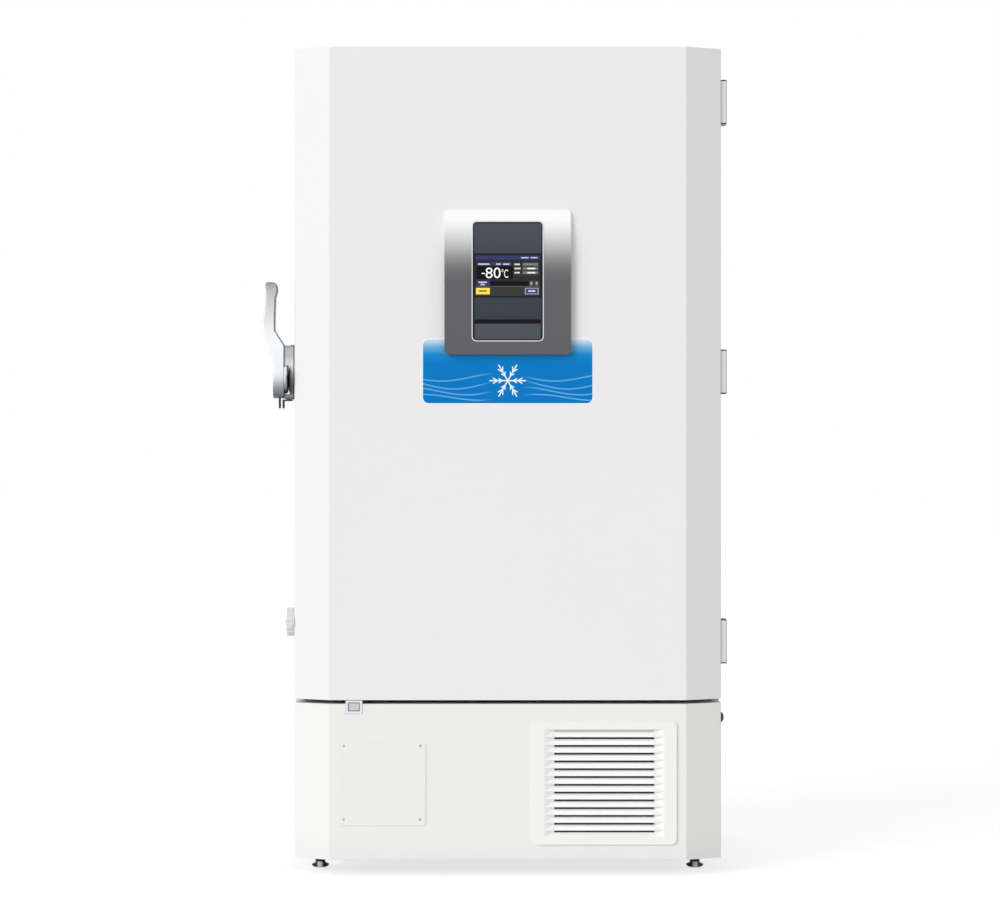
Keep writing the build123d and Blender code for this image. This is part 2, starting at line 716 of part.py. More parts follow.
def handle_base():
    """Back plate on the door with two bridges, the shaft and the fixed padlock ear."""
    y = (SIDE_MIDDLE_Y - HANDLE_HALF_DEPTH, SIDE_MIDDLE_Y + HANDLE_HALF_DEPTH)
    z = (HANDLE_BASE_BOTTOM, HANDLE_BASE_BOTTOM + HANDLE_BASE_HEIGHT)
    base = side_prism(rounded(y, z, 8), span_out(0, HANDLE_BASE_PLATE))
    bridge = span_out(HANDLE_BASE_PLATE - 1, LEVER_INNER - TOUCH)
    base += slab(bridge, (y[0] + 3, y[0] + 15), (z[1] - 50, z[1] - 2))
    base += slab(bridge, (y[0] + 6, y[1] - 6), (z[0] + 1, z[0] + 13))
    shaft_x = span_out(HANDLE_BASE_PLATE - 1, SHAFT_END)
    base += rod_x(shaft_x, SIDE_MIDDLE_Y, HANDLE_Z, HANDLE_SHAFT_RADIUS)
    ear_x = span_out(BASE_EAR, BASE_EAR + EAR_THICKNESS)
    ear_y = grow((SIDE_MIDDLE_Y, SIDE_MIDDLE_Y), EAR_RADIUS)
    eye_z = HANDLE_Z - EAR_DROP
    foot_z = (z[0] - 4, z[0])
    base += slab(span_out(6, BASE_EAR + EAR_THICKNESS), ear_y, foot_z)
    base += slab(span_out(6, 20), ear_y, (foot_z[0], z[0] + 4))
    ear = Pos(SIDE_MIDDLE_Y, eye_z) * Circle(EAR_RADIUS)
    ear += Pos(SIDE_MIDDLE_Y, (eye_z + foot_z[1]) / 2) * Rectangle(2 * EAR_RADIUS, foot_z[1] - eye_z)
    base += side_prism(ear, ear_x)
    return base - rod_x(grow(ear_x, 2), SIDE_MIDDLE_Y, eye_z, PADLOCK_RADIUS)


def lever_front_view():
    """Outline of the lever seen from the front, drawn with u to the left."""
    def point(u, above_axis):
        return (out(u), HANDLE_Z + above_axis)

    foot_z = HANDLE_BASE_BOTTOM - HANDLE_Z - 5
    tip_z = HANDLE_TOP - HANDLE_Z
    waist = point(LEVER_WAIST, 10)
    knee = point(LEVER_INNER, 72)
    outer = Spline(waist, point(54, 45), point(66, 76), point(76.5, 105), point(75, 148), point(71.5, tip_z - 8))
    corner = ThreePointArc(point(71.5, tip_z - 8), point(69, tip_z - 2), point(64, tip_z))
    tip = Line(point(64, tip_z), point(51, tip_z - 1))
    nub = Spline(point(51, tip_z - 1), point(43, tip_z - 10), point(42, tip_z - 22), point(46.5, tip_z - 38))
    inner = ThreePointArc(point(46.5, tip_z - 38), point(48, 148), point(48.6, 109))
    slope = Line(point(48.6, 109), knee)
    foot = Polyline(knee, point(LEVER_INNER, foot_z), point(LEVER_WAIST, foot_z), waist)
    return make_face([outer, corner, tip, nub, inner, slope, *foot.edges()])


def lever_side_view():
    """Outline of the lever seen from the side: a round foot and a grip that narrows to a round top."""
    half = HANDLE_HALF_DEPTH
    top_half = half - 5
    top = HANDLE_TOP - 10
    centre = SIDE_MIDDLE_Y
    foot_z = HANDLE_Z - (HANDLE_FOOT_RADIUS**2 - half**2) ** 0.5
    side = [(half, foot_z), (half, HANDLE_Z + 65), (top_half, HANDLE_Z + 125), (top_half, top)]
    left = Polyline(*[(centre - reach, z) for reach, z in side])
    right = Polyline(*[(centre + reach, z) for reach, z in reversed(side)])
    cap = ThreePointArc(left @ 1, (centre, HANDLE_TOP + 1), right @ 0)
    foot = ThreePointArc(right @ 1, (centre, HANDLE_Z - HANDLE_FOOT_RADIUS), left @ 0)
    return make_face([*left.edges(), cap, *right.edges(), foot])


def latch_hook():
    """Hook plate behind the lever: an arm over the striker pin with a finger behind it."""
    reach = STRIKER_Y - SIDE_MIDDLE_Y
    centre = SIDE_MIDDLE_Y
    over = STRIKER_Z + STRIKER_RADIUS + 1
    behind = centre + reach + STRIKER_RADIUS + 1
    plate = Pos(centre, HANDLE_Z) * Circle(HOOK_ROOT_RADIUS)
    points = [
        (centre, over),
        (behind, over),
        (behind, STRIKER_Z - 4),
        (behind + 8, STRIKER_Z - 4),
        (behind + 14, over + 4),
        (behind + 4, over + 16),
        (centre, HANDLE_Z + 12),
    ]
    arm = Polygon(*points, align=None)
    return side_prism(plate + arm, span_out(LEVER_INNER - HOOK_THICKNESS, LEVER_INNER + 0.2))


def handle_lever():
    """Lever handle: grip and foot, the latch hook, the padlock ear and the bore for the shaft."""
    body = front_prism(lever_front_view(), (SIDE_MIDDLE_Y - 40, SIDE_MIDDLE_Y + 40))
    body = body & side_prism(lever_side_view(), span_out(0, 90))
    body += latch_hook()
    eye_z = HANDLE_Z - EAR_DROP
    ear_x = span_out(LEVER_EAR, LEVER_EAR + EAR_THICKNESS)
    ear = Pos(SIDE_MIDDLE_Y, eye_z) * Circle(EAR_RADIUS)
    ear += Pos(SIDE_MIDDLE_Y, eye_z + 12) * Rectangle(2 * EAR_RADIUS, 24)
    body += side_prism(ear, ear_x)
    body -= rod_x(grow(ear_x, 2), SIDE_MIDDLE_Y, eye_z, PADLOCK_RADIUS)
    shaft_x = span_out(HANDLE_BASE_PLATE, SHAFT_END + TOUCH)
    return body - rod_x(shaft_x, SIDE_MIDDLE_Y, HANDLE_Z, HANDLE_SHAFT_RADIUS + PIN_FIT)


def latch_striker():
    """Plate on the cabinet side with the pin that the hook catches."""
    striker = slab(span_out(0, 4), (CABINET_FRONT + 9, CABINET_FRONT + 49), (STRIKER_Z - 25, STRIKER_Z + 25))
    return striker + rod_x(span_out(3, 27), STRIKER_Y, STRIKER_Z, STRIKER_RADIUS)


def vacuum_port_base():
    """Round seat of the vacuum release."""
    return rod_x(span_out(0, KNOB_SEAT), SIDE_MIDDLE_Y, KNOB_Z, KNOB_RADIUS - 1)


def vacuum_release_knob():
    """Turning knob with a fluted rim and a raised grip bar."""
    outline = Circle(KNOB_RADIUS)
    flutes = PolarLocations(KNOB_RADIUS + 3, KNOB_FLUTES) * Circle(5.5)
    rim = Pos(SIDE_MIDDLE_Y, KNOB_Z) * (outline - flutes)
    knob = side_prism(rim, span_out(KNOB_SEAT + TOUCH, KNOB_REACH - 3))
    grip = Pos(SIDE_MIDDLE_Y, KNOB_Z) * Rectangle(2 * KNOB_RADIUS - 14, 12)
    return knob + side_prism(grip, span_out(KNOB_REACH - 4, KNOB_REACH))


# Lower front panel and what it carries

def grille_outline(inset):
    """Rounded outline of the grille."""
    x = (GRILLE_X - GRILLE_WIDTH / 2 + inset, GRILLE_X + GRILLE_WIDTH / 2 - inset)
    return rounded(x, (GRILLE_BOTTOM + inset, GRILLE_TOP - inset), GRILLE_RADIUS - inset)


def louvre_cut(number):
    """One louvre: a wedge with slanted ends, and the air gap under its lip."""
    top = GRILLE_Z + LOUVRE_RISE + LOUVRE_PITCH * (LOUVRES / 2 - number)
    back = GRILLE_FRONT + LOUVRE_DEPTH
    wedge = Polygon((GRILLE_FRONT - 1, top + LOUVRE_MOUTH / LOUVRE_DEPTH), (back, top - LOUVRE_MOUTH),
                    (GRILLE_FRONT - 1, top - LOUVRE_PITCH), align=None)
    wedge = side_prism(wedge, (GRILLE_X - HALF, GRILLE_X + HALF))
    deep = LOUVRE_WIDTH / 2
    wide = deep + LOUVRE_END
    ends = Polygon((GRILLE_X - wide - 2, GRILLE_FRONT - 1), (GRILLE_X + wide + 2, GRILLE_FRONT - 1),
                   (GRILLE_X + deep, back), (GRILLE_X - deep, back), align=None)
    cut = wedge & plan_prism(ends, (top - 2 * LOUVRE_PITCH, top + LOUVRE_PITCH))
    if number:
        gap_y = (GRILLE_FRONT + 1, FRONT + GRILLE_CORE + 1)
        cut += slab((GRILLE_X - deep, GRILLE_X + deep), gap_y, (top - LOUVRE_MOUTH, top - 0.6))
    return cut


def front_grille():
    """Pull-off intake grille with moulded louvres."""
    grille = front_prism(grille_outline(0), (GRILLE_FRONT, FRONT))
    grille += front_prism(grille_outline(GRILLE_LIP), (FRONT, FRONT + GRILLE_CORE))
    for number in range(LOUVRES + 1):
        grille -= louvre_cut(number)
    return grille


def recorder_plate_range():
    """X and Z ranges of the blank plate."""
    left = -HALF + PLATE_FROM_SIDE
    return (left, left + PLATE_WIDTH), (PLATE_BOTTOM, PLATE_TOP)


def sensor_x():
    """Middle of the door sensor."""
    return -HALF + SENSOR_FROM_SIDE


def lower_front_panel():
    """Hollow lower front cover with openings for the grille, the recorder and the sensor."""
    z = (PANEL_BOTTOM, PANEL_TOP)
    panel = plan_prism(front_outline(0, PANEL_BACK), z)
    panel -= plan_prism(front_outline(PANEL_WALL, PANEL_BACK + 10), grow(z, -PANEL_WALL))
    panel -= front_prism(grille_outline(GRILLE_LIP - 0.6), (FRONT - 1, FRONT + PANEL_WALL + 1))
    plate_x, plate_z = recorder_plate_range()
    opening = rounded(grow(plate_x, -25), grow(plate_z, -25), 8)
    panel -= front_prism(opening, (FRONT - 1, FRONT + PANEL_WALL + 1))
    notch_x = grow((sensor_x(), sensor_x()), SENSOR_WIDTH / 2 + TOUCH)
    panel -= slab(notch_x, (FRONT - 1, FRONT + SENSOR_DEPTH + TOUCH), (SENSOR_BOTTOM - TOUCH, PANEL_TOP + 1))
    rail_x = grow((GRILLE_X, GRILLE_X), RAIL_HALF)
    rail_y = (FRONT + PANEL_WALL, FRONT + GRILLE_CORE + RAIL_REACH)
    for edge, face in ((GRILLE_BOTTOM - 6, 1), (GRILLE_TOP + 6, -1)):
        panel += slab(rail_x, rail_y, sorted((edge, edge + RAIL_SHEET * face)))
        hook_z = sorted((edge, edge + RAIL_REACH * face))
        panel += slab(rail_x, (rail_y[1] - RAIL_SHEET, rail_y[1]), hook_z)
    return panel


def condenser_filter():
    """Washable filter pad held behind the grille."""
    x = grow((GRILLE_X, GRILLE_X), RAIL_HALF + 10)
    front = FRONT + GRILLE_CORE
    y = grow((front, front + RAIL_REACH - RAIL_SHEET), -TOUCH)
    return slab(x, y, grow((GRILLE_BOTTOM, GRILLE_TOP), 6 - RAIL_SHEET - TOUCH))


def recorder_blank_plate():
    """Flat cover over the recorder opening."""
    x, z = recorder_plate_range()
    return front_prism(rounded(x, z, 6), (FRONT - 2, FRONT))


def door_sensor():
    """Door sensor in a notch of the lower panel, reaching across the gap to the door."""
    middle = (sensor_x(), sensor_x())
    y = (FRONT - 1.5, FRONT + SENSOR_DEPTH)
    body = slab(grow(middle, SENSOR_WIDTH / 2), y, (SENSOR_BOTTOM, DOOR_BOTTOM - 1))
    return body - slab(grow(middle, SENSOR_WINDOW_WIDTH / 2), (y[0] - 1, y[0] + 2), SENSOR_WINDOW)


def side_bumper():
    """Rubber bumper on the right side of the lower panel, tapered to its end."""
    seat = Plane(origin=(HALF, FRONT + BUMPER_SETBACK, BUMPER_Z), x_dir=(0, 1, 0), z_dir=(1, 0, 0))
    return extrude(seat * Circle(BUMPER_RADIUS), amount=BUMPER_RISE, taper=30)


# Base, casters and feet

def fork_legs(x, y, top, pivot_y):
    """Two fork legs from the plate down to the axle."""
    axle = WHEEL_RADIUS
    low = axle - 10
    leg = Polygon((pivot_y - 17, top), (pivot_y + 17, top), (y + 11, axle + 4), (y + 5, low), (y - 5, low),
                  (y - 11, axle + 4), align=None)
    inner = WHEEL_WIDTH / 2 + TOUCH
    legs = side_prism(leg, (x + inner, x + inner + FORK_SHEET))
    return legs + side_prism(leg, (x - inner - FORK_SHEET, x - inner))


def base_plate():
    """Base sheet with caster plates, the fixed rear forks and the two threaded foot sleeves."""
    z = (BASE_HEIGHT, BASE_HEIGHT + BASE_SHEET)
    base = slab(both(INSIDE), (CABINET_FRONT + SHEET, CABINET_BACK - 2 * SHEET), z)
    for x in (-CASTER_X, CASTER_X):
        for y in (FRONT_CASTER_Y, REAR_CASTER_Y):
            base += slab((x - 45, x + 45), (y - 40, y + 40), (BASE_HEIGHT - CASTER_PLATE, BASE_HEIGHT))
        base += fork_legs(x, REAR_CASTER_Y, BASE_HEIGHT - CASTER_PLATE, REAR_CASTER_Y)
    for x in (-FOOT_X, FOOT_X):
        nut = Pos(x, FOOT_Y) * RegularPolygon(STUD_RADIUS + 6, 6)
        base += plan_prism(nut, (BASE_HEIGHT - 16, BASE_HEIGHT))
        base -= rod_z(x, FOOT_Y, (BASE_HEIGHT - 20, BASE_HEIGHT + 10), STUD_RADIUS + PIN_FIT)
    return base


def caster_fork(side):
    """Swivelling fork under its round ball race."""
    x = side * CASTER_X
    top = BASE_HEIGHT - CASTER_PLATE - TOUCH - RACE_HEIGHT
    outer = WHEEL_WIDTH / 2 + TOUCH + FORK_SHEET
    wheel_y = FRONT_CASTER_Y + CASTER_TRAIL
    fork = slab((x - outer, x + outer), (FRONT_CASTER_Y - 17, FRONT_CASTER_Y + 17), (top - FORK_SHEET, top))
    fork += fork_legs(x, wheel_y, top, FRONT_CASTER_Y)
    return fork + rod_z(x, FRONT_CASTER_Y, (top, top + RACE_HEIGHT), RACE_RADIUS)


def caster_wheel(x, y):
    """Wheel between the legs of its fork."""
    return rod_x((x - WHEEL_WIDTH / 2, x + WHEEL_WIDTH / 2), y, WHEEL_RADIUS, WHEEL_RADIUS)


def levelling_foot(side):
    """Hat-shaped foot on a threaded stud."""
    top = BASE_HEIGHT + 26
    neck = FOOT_NECK
    profile = Polygon((0, 0), (FOOT_RADIUS, 0), (FOOT_RADIUS, 5), (STUD_RADIUS, neck), (STUD_RADIUS, top),
                      (0, top), align=None)
    foot = revolve(Plane.XZ * profile, axis=Axis.Z)
    return Pos(side * FOOT_X, FOOT_Y, 0) * foot


# Machinery behind the lower panel

def condenser():
    """Finned condenser core between two headers."""
    x = grow((GRILLE_X, GRILLE_X), CONDENSER_WIDTH / 2)
    core = slab(x, CONDENSER_Y, CONDENSER_Z)
    pitch = CONDENSER_WIDTH / CONDENSER_FINS
    for fin in range(CONDENSER_FINS):
        low = x[0] + pitch * (fin + 0.25)
        core -= slab((low, low + pitch / 2), (CONDENSER_Y[0] - 1, CONDENSER_Y[0] + 14), grow(CONDENSER_Z, -10))
    for end in ((x[0] - HEADER_WIDTH, x[0]), (x[1], x[1] + HEADER_WIDTH)):
        core += slab(end, grow(CONDENSER_Y, -4), CONDENSER_Z)
    return core


def fan_shroud():
    """Fan plate with a round opening, the motor on its three arms and the motor's shaft."""
    x = grow((GRILLE_X, GRILLE_X), CONDENSER_WIDTH / 2 + HEADER_WIDTH)
    plate = front_prism(rounded(x, CONDENSER_Z, 6), SHROUD_Y)
    plate -= rod_y(GRILLE_X, grow(SHROUD_Y, 1), FAN_Z, FAN_RADIUS + 8)
    motor_y = (FAN_Y[1] + 8, FAN_Y[1] + 60)
    motor = rod_y(GRILLE_X, motor_y, FAN_Z, MOTOR_RADIUS)
    motor += rod_y(GRILLE_X, (FAN_Y[1] + TOUCH, motor_y[0] + 1), FAN_Z, 4)
    reach = FAN_RADIUS + FAN_HUB
    arm = slab((MOTOR_RADIUS - 6, reach), (motor_y[0], motor_y[0] + 4), both(7))
    arm += slab((reach - 6, reach), (SHROUD_Y[1] - 1, motor_y[0] + 1), both(7))
    for turn in (90, 210, 330):
        motor += Pos(GRILLE_X, 0, FAN_Z) * Rot(0, turn, 0) * arm
    return plate + motor


def fan_blade():
    """Five pitched blades on a hub."""
    hub = rod_y(0, FAN_Y, 0, FAN_HUB)
    tip = FAN_RADIUS - 6
    outline = Polygon((18, -14), (tip, -34), (tip, 30), (18, 14), align=None) & Circle(FAN_RADIUS)
    middle = (FAN_Y[0] + FAN_Y[1]) / 2
    blade = Pos(0, middle, 0) * Rot(24, 0, 0) * front_prism(outline, (-1.2, 1.2))
    fan = hub
    for number in range(FAN_BLADES):
        fan += Rot(0, number * 360 / FAN_BLADES, 0) * blade
    return Pos(GRILLE_X, 0, FAN_Z) * fan


def compressors():
    """Two hermetic compressors on their foot plates and grommets."""
    radius = COMPRESSOR_RADIUS
    shoulder = COMPRESSOR_TOP - 45
    shell = [(0, 0), (radius, 0), (radius, shoulder), (radius - 35, COMPRESSOR_TOP), (0, COMPRESSOR_TOP)]
    body = revolve(Plane.XZ * Polygon(*shell, align=None), axis=Axis.Z)
    body += Pos(0, 0, 3) * Box(190, 130, 6)
    for x in (-82, 82):
        for y in (-52, 52):
            body += Pos(x, y, -COMPRESSOR_FOOT / 2) * Box(18, 18, COMPRESSOR_FOOT)
    pair = Part()
    for x, y in COMPRESSOR_SPOTS:
        pair += Pos(x, y, FLOOR + COMPRESSOR_FOOT) * body
    return pair


def elbow_tube(points, radius):
    """Round tube along straight runs joined by brazed elbows."""
    path = Polyline(*points)
    start = Plane(origin=path @ 0, z_dir=path % 0)
    return sweep(start * Circle(radius), path=path, transition=Transition.RIGHT)


def refrigerant_lines():
    """Discharge line to the condenser and suction line up into the insulated box."""
    (x1, y1), (x2, y2) = COMPRESSOR_SPOTS
    top = FLOOR + COMPRESSOR_FOOT + COMPRESSOR_TOP
    header_x = GRILLE_X - CONDENSER_WIDTH / 2 - HEADER_WIDTH
    header_y = (CONDENSER_Y[0] + CONDENSER_Y[1]) / 2
    run_z = CONDENSER_Z[1] - 14
    discharge = [(x1, y1, top), (x1, y1, run_z), (x1, header_y, run_z), (header_x, header_y, run_z)]
    return elbow_tube(discharge, TUBE_RADIUS) + rod_z(x2, y2, (top, DOOR_BOTTOM), TUBE_RADIUS)


def control_box():
    """Electrical box behind the blank plate, with a lid lip."""
    left = CONTROL_BOX_INSET - INSIDE
    x = (left, left + CONTROL_BOX_WIDTH)
    y = (CABINET_FRONT + 30, CABINET_FRONT + 30 + CONTROL_BOX_DEPTH)
    box = slab(x, y, (FLOOR, DOOR_BOTTOM - 60))
    return box + slab(grow(x, 5), grow(y, 5), (DOOR_BOTTOM - 80, DOOR_BOTTOM - 74))


def rear_cover():
    """Louvred cover over the back of the machine compartment."""
    y = (CABINET_BACK - SHEET, CABINET_BACK)
    z = (BASE_HEIGHT, DOOR_BOTTOM - 1)
    cover = slab(both(HALF), y, z)
    for x in (-HALF / 2, HALF / 2):
        for row in range(7):
            low = z[0] + 60 + row * 28
            cover -= slab((x - 110, x + 110), grow(y, 1), (low, low + 8))
    return cover


def wall_anchors():
    """Stand-offs at the rear; the upper two are bored for the wall bolts."""
    anchors = Part()
    y = (CABINET_BACK, DEPTH / 2)
    for x in (-ANCHOR_X, ANCHOR_X):
        for z in (ANCHOR_Z, DOOR_BOTTOM + 160):
            anchors += slab((x - 30, x + 30), y, (z - 20, z + 20))
        anchors -= rod_y(x, grow(y, 1), ANCHOR_Z, ANCHOR_HOLE_RADIUS)
    return anchors


def power_inlet():
    """Recessed power inlet with three flat contacts."""
    y = (CABINET_BACK, CABINET_BACK + 14)
    inlet = slab((INLET_X - 26, INLET_X + 26), y, (INLET_Z - 20, INLET_Z + 20))
    inlet -= slab((INLET_X - 17, INLET_X + 17), (y[0] + 3, y[1] + 1), (INLET_Z - 12, INLET_Z + 12))
    for x, z in ((-9, -3), (9, -3), (0, 5)):
        contact_x = grow((INLET_X + x, INLET_X + x), 1)
        inlet += slab(contact_x, (y[0] + 2, y[1] - 6), grow((INLET_Z + z, INLET_Z + z), 2.5))
    return inlet


def access_port_cap():
    """Round cap of the rear access port."""
    return rod_y(PORT_X, (CABINET_BACK, CABINET_BACK + 9), PORT_Z, PORT_RADIUS)


NODES = {
    "side_panel_left": side_panel(-1),
    "side_panel_right": side_panel(1),
    "top_panel": top_panel(),
    "back_panel": back_panel(),
    "compartment_deck": compartment_deck(),
    "foam_insulation": foam_insulation(),
    "vacuum_panels": vacuum_panels(),
    "inner_liner": inner_liner(),
    "evaporator_coil": evaporator_coil(),
    "breaker_frame": breaker_frame(),
    "shelf_lower": shelf(0),
    "shelf_middle": shelf(1),
    "shelf_upper": shelf(2),
    "shelf_rails": shelf_rails(),
    "base_plate": base_plate(),
    "lower_front_panel": lower_front_panel(),
    "recorder_blank_plate": recorder_blank_plate(),
    "door_sensor": door_sensor(),
    "side_bumper": side_bumper(),
    "compressors": compressors(),
    "condenser": condenser(),
    "condenser_filter": condenser_filter(),
    "fan_shroud": fan_shroud(),
    "control_box": control_box(),
    "refrigerant_lines": refrigerant_lines(),
    "rear_cover": rear_cover(),
    "wall_anchors": wall_anchors(),
    "power_inlet": power_inlet(),
    "access_port_cap": access_port_cap(),
    "cabinet_hinge_leaves": cabinet_hinge_leaves(),
    "latch_striker": latch_striker(),
    "door_skin": door_skin(),
    "door_foam": door_foam(),
    "door_liner": door_liner(),
    "door_gasket": door_gasket(),
    "door_hinge_leaves": hinge_leaf_door(),
    "control_bezel": control_bezel(),
    "control_fascia": control_fascia(),
    "port_bay": port_bay(),
    "touch_screen": touch_screen(),
    "front_label": front_label(),
    "handle_base": handle_base(),
    "vacuum_port_base": vacuum_port_base(),
    "handle_lever": handle_lever(),
    "vacuum_release_knob": vacuum_release_knob(),
    "usb_flap": usb_flap(),
    "fan_blade": fan_blade(),
    "inner_door_upper": inner_door(True),
    "inner_door_lower": inner_door(False),
    "inner_gasket_upper": inner_gasket(True),
    "inner_gasket_lower": inner_gasket(False),
    "front_grille": front_grille(),
}
for side, sign in (("left", -1), ("right", 1)):
    x = sign * CASTER_X
    NODES[f"caster_fork_front_{side}"] = caster_fork(sign)
    NODES[f"caster_wheel_front_{side}"] = caster_wheel(x, FRONT_CASTER_Y + CASTER_TRAIL)
    NODES[f"caster_wheel_rear_{side}"] = caster_wheel(x, REAR_CASTER_Y)
    NODES[f"levelling_foot_{side}"] = levelling_foot(sign)

os.makedirs("parts", exist_ok=True)
for name, shape in NODES.items():
    export_step(shape, f"parts/{name}.step")
    print(name, len(shape.solids()), "solids", round(shape.volume / 1000, 1), "cm3")
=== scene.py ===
# %% [markdown]
# # An upright laboratory deep freezer
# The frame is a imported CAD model: steel sheets, an insulated door, a control panel, a lever latch and
# a louvred lower panel. Each piece keeps the place that the CAD gave it. Blender adds what a drawing
# leaves out: worn edges, screws, seals, wheels and the finish of every surface.

# %% Load the frame
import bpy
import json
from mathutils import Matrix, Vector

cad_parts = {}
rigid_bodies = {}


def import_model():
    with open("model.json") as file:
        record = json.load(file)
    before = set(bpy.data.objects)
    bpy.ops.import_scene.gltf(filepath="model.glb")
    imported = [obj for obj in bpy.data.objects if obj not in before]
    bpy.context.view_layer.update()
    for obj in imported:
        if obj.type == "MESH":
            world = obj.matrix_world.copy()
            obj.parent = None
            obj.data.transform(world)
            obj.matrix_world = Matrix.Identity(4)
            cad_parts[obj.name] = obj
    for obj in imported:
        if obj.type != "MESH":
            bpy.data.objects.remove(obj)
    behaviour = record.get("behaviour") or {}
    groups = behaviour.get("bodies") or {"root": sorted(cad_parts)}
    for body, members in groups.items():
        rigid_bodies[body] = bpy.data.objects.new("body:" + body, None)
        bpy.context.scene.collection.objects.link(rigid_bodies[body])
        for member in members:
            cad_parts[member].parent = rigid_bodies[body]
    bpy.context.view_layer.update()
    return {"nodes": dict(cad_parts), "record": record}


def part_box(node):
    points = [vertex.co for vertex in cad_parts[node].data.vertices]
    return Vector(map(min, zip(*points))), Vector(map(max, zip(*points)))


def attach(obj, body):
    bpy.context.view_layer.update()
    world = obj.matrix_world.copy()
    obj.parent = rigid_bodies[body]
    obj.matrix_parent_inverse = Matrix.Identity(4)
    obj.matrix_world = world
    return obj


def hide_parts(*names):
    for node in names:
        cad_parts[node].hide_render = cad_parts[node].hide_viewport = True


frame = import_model()

import json
import math
import bpy
from mathutils import Vector

NODES = frame["nodes"]
MM = 0.001

# %% [markdown]
# ## Camera
# A product photograph of a tall cabinet is taken from far away with a long lens, level and at half
# height, so that upright edges stay parallel. The same is done here: about 8 m away, with a 121.5 mm lens.

# %% Camera
DOOR_FRONT = -0.441
CAMERA_X, CAMERA_HEIGHT, CAMERA_DISTANCE = -0.0185, 1.027, 8.1
LENS, SENSOR_WIDTH = 121.5, 36
camera_data = bpy.data.cameras.new("camera")
camera_data.sensor_width = SENSOR_WIDTH
camera_data.lens = LENS
camera = bpy.data.objects.new("camera", camera_data)
camera.location = (CAMERA_X, DOOR_FRONT - CAMERA_DISTANCE, CAMERA_HEIGHT)
camera.rotation_euler = (math.radians(90), 0, 0)
bpy.context.scene.collection.objects.link(camera)
bpy.context.scene.camera = camera
print("camera", tuple(camera.location))

# %% [markdown]
# ## Shader maths
# A finish is easier to read as a formula than as a tangle of nodes. `Value` wraps one socket, and each
# sum, product or comparison adds the Math node that works it out. `Finish` is one material, and its
# method `add` makes any other node.

# %% Value and Finish
class Value:
    """A socket that can be used in formulas."""

    def __init__(self, finish, socket):
        self.finish = finish
        self.socket = socket

    def math(self, operation, *values):
        return self.finish.add("Math", self, *values, settings={"operation": operation})

    def other(self, output):
        return Value(self.finish, self.socket.node.outputs[output])

    def __rsub__(self, value):
        return self.finish.add("Math", value, self, settings={"operation": "SUBTRACT"})

    def ramp(self, low, high):
        """0 below low, 1 above high, and smooth between them."""
        return self.finish.add("MapRange", self, low, high, 0.0, 1.0,
                               settings={"interpolation_type": "SMOOTHSTEP"})


OPERATIONS = {
    "__add__": "ADD", "__radd__": "ADD", "__sub__": "SUBTRACT", "__mul__": "MULTIPLY",
    "__rmul__": "MULTIPLY", "__truediv__": "DIVIDE", "__lt__": "LESS_THAN", "__gt__": "GREATER_THAN",
    "__abs__": "ABSOLUTE", "least": "MINIMUM", "most": "MAXIMUM",
}
for name, operation in OPERATIONS.items():
    setattr(Value, name, lambda self, *values, kind=operation: self.math(kind, *values))


class Finish:
    """One material, with the object's own coordinates in metres at hand."""

    def __init__(self, name, colour, roughness, metallic=0.0, **constants):
        self.material = bpy.data.materials.new(name)
        self.material.use_nodes = True
        self.tree = self.material.node_tree
        self.shader = self.tree.nodes["Principled BSDF"]
        self.place = self.add("TexCoord").other("Object")
        self.x = self.add("SeparateXYZ", self.place)
        self.y = self.x.other(1)
        self.z = self.x.other(2)
        self.set(Base_Color=colour, Roughness=roughness, Metallic=metallic, **constants)

    def plug(self, socket, value):
        if isinstance(value, Value):
            self.tree.links.new(value.socket, socket)
        else:
            socket.default_value = value

    def add(self, kind, *values, settings=None, stops=None, at=None, **named):
        """Any node: its settings first, then its sockets in order, by number or by name."""
        node = self.tree.nodes.new("ShaderNode" + kind)
        for key, value in (settings or {}).items():
            setattr(node, key, value)
        for number, (position, colour) in enumerate(stops or []):
            ramp = node.color_ramp.elements
            element = ramp[number] if number < len(ramp) else ramp.new(position)
            element.position = position
            element.color = colour
        for number, value in enumerate(values):
            self.plug(node.inputs[number], value)
        for number, value in (at or {}).items():
            self.plug(node.inputs[number], value)
        for key, value in named.items():
            self.plug(node.inputs[key.replace("_", " ")], value)
        return Value(self, node.outputs[0])

    def set(self, **sockets):
        for key, value in sockets.items():
            self.plug(self.shader.inputs[key.replace("_", " ")], value)

    def noise(self, scale, detail=2.0, stretch=(1, 1, 1)):
        """Noise on the object's coordinates, in cycles per metre, stretched along an axis."""
        place = self.add("Mapping", self.place, Scale=stretch)
        return self.add("TexNoise", Vector=place, Scale=scale, Detail=detail)

    def mix(self, first, second, mask):
        """The first colour where the mask is 0, the second where it is 1."""
        blend = self.add("Mix", settings={"data_type": "RGBA"}, at={0: mask, 6: first, 7: second})
        return blend.other(2)

    def tint(self, first, second, mask, **sockets):
        """A mix of two colours as the base colour."""
        self.set(Base_Color=self.mix(first, second, mask), **sockets)

    def fade(self, low, high, stops):
        """A colour ramp over the height, with its stops as fractions from low to high."""
        return self.add("ValToRGB", (self.z - low) / (high - low), stops=stops)

    def relief(self, height, distance, strength=1.0):
        """A bump of a real height in metres."""
        self.set(Normal=self.add("Bump", Strength=strength, Distance=distance, Height=height))
        return self.material


def srgb(red, green, blue):
    """A shader colour from screen values of 0 to 255."""
    parts = [value / 255 for value in (red, green, blue)]
    linear = [part / 12.92 if part < 0.04 else ((part + 0.055) / 1.055) ** 2.4 for part in parts]
    return (*linear, 1.0)


def shade(colour, factor):
    return (*(min(part * factor, 1.0) for part in colour[:3]), 1.0)


print("shader maths ready")

# %% [markdown]
# ## Powder coat
# Sheet steel is powder coated: nearly white, half matt, with a very fine orange peel. A slow cloud in
# the colour and the roughness keeps a large flat door from looking like paper.

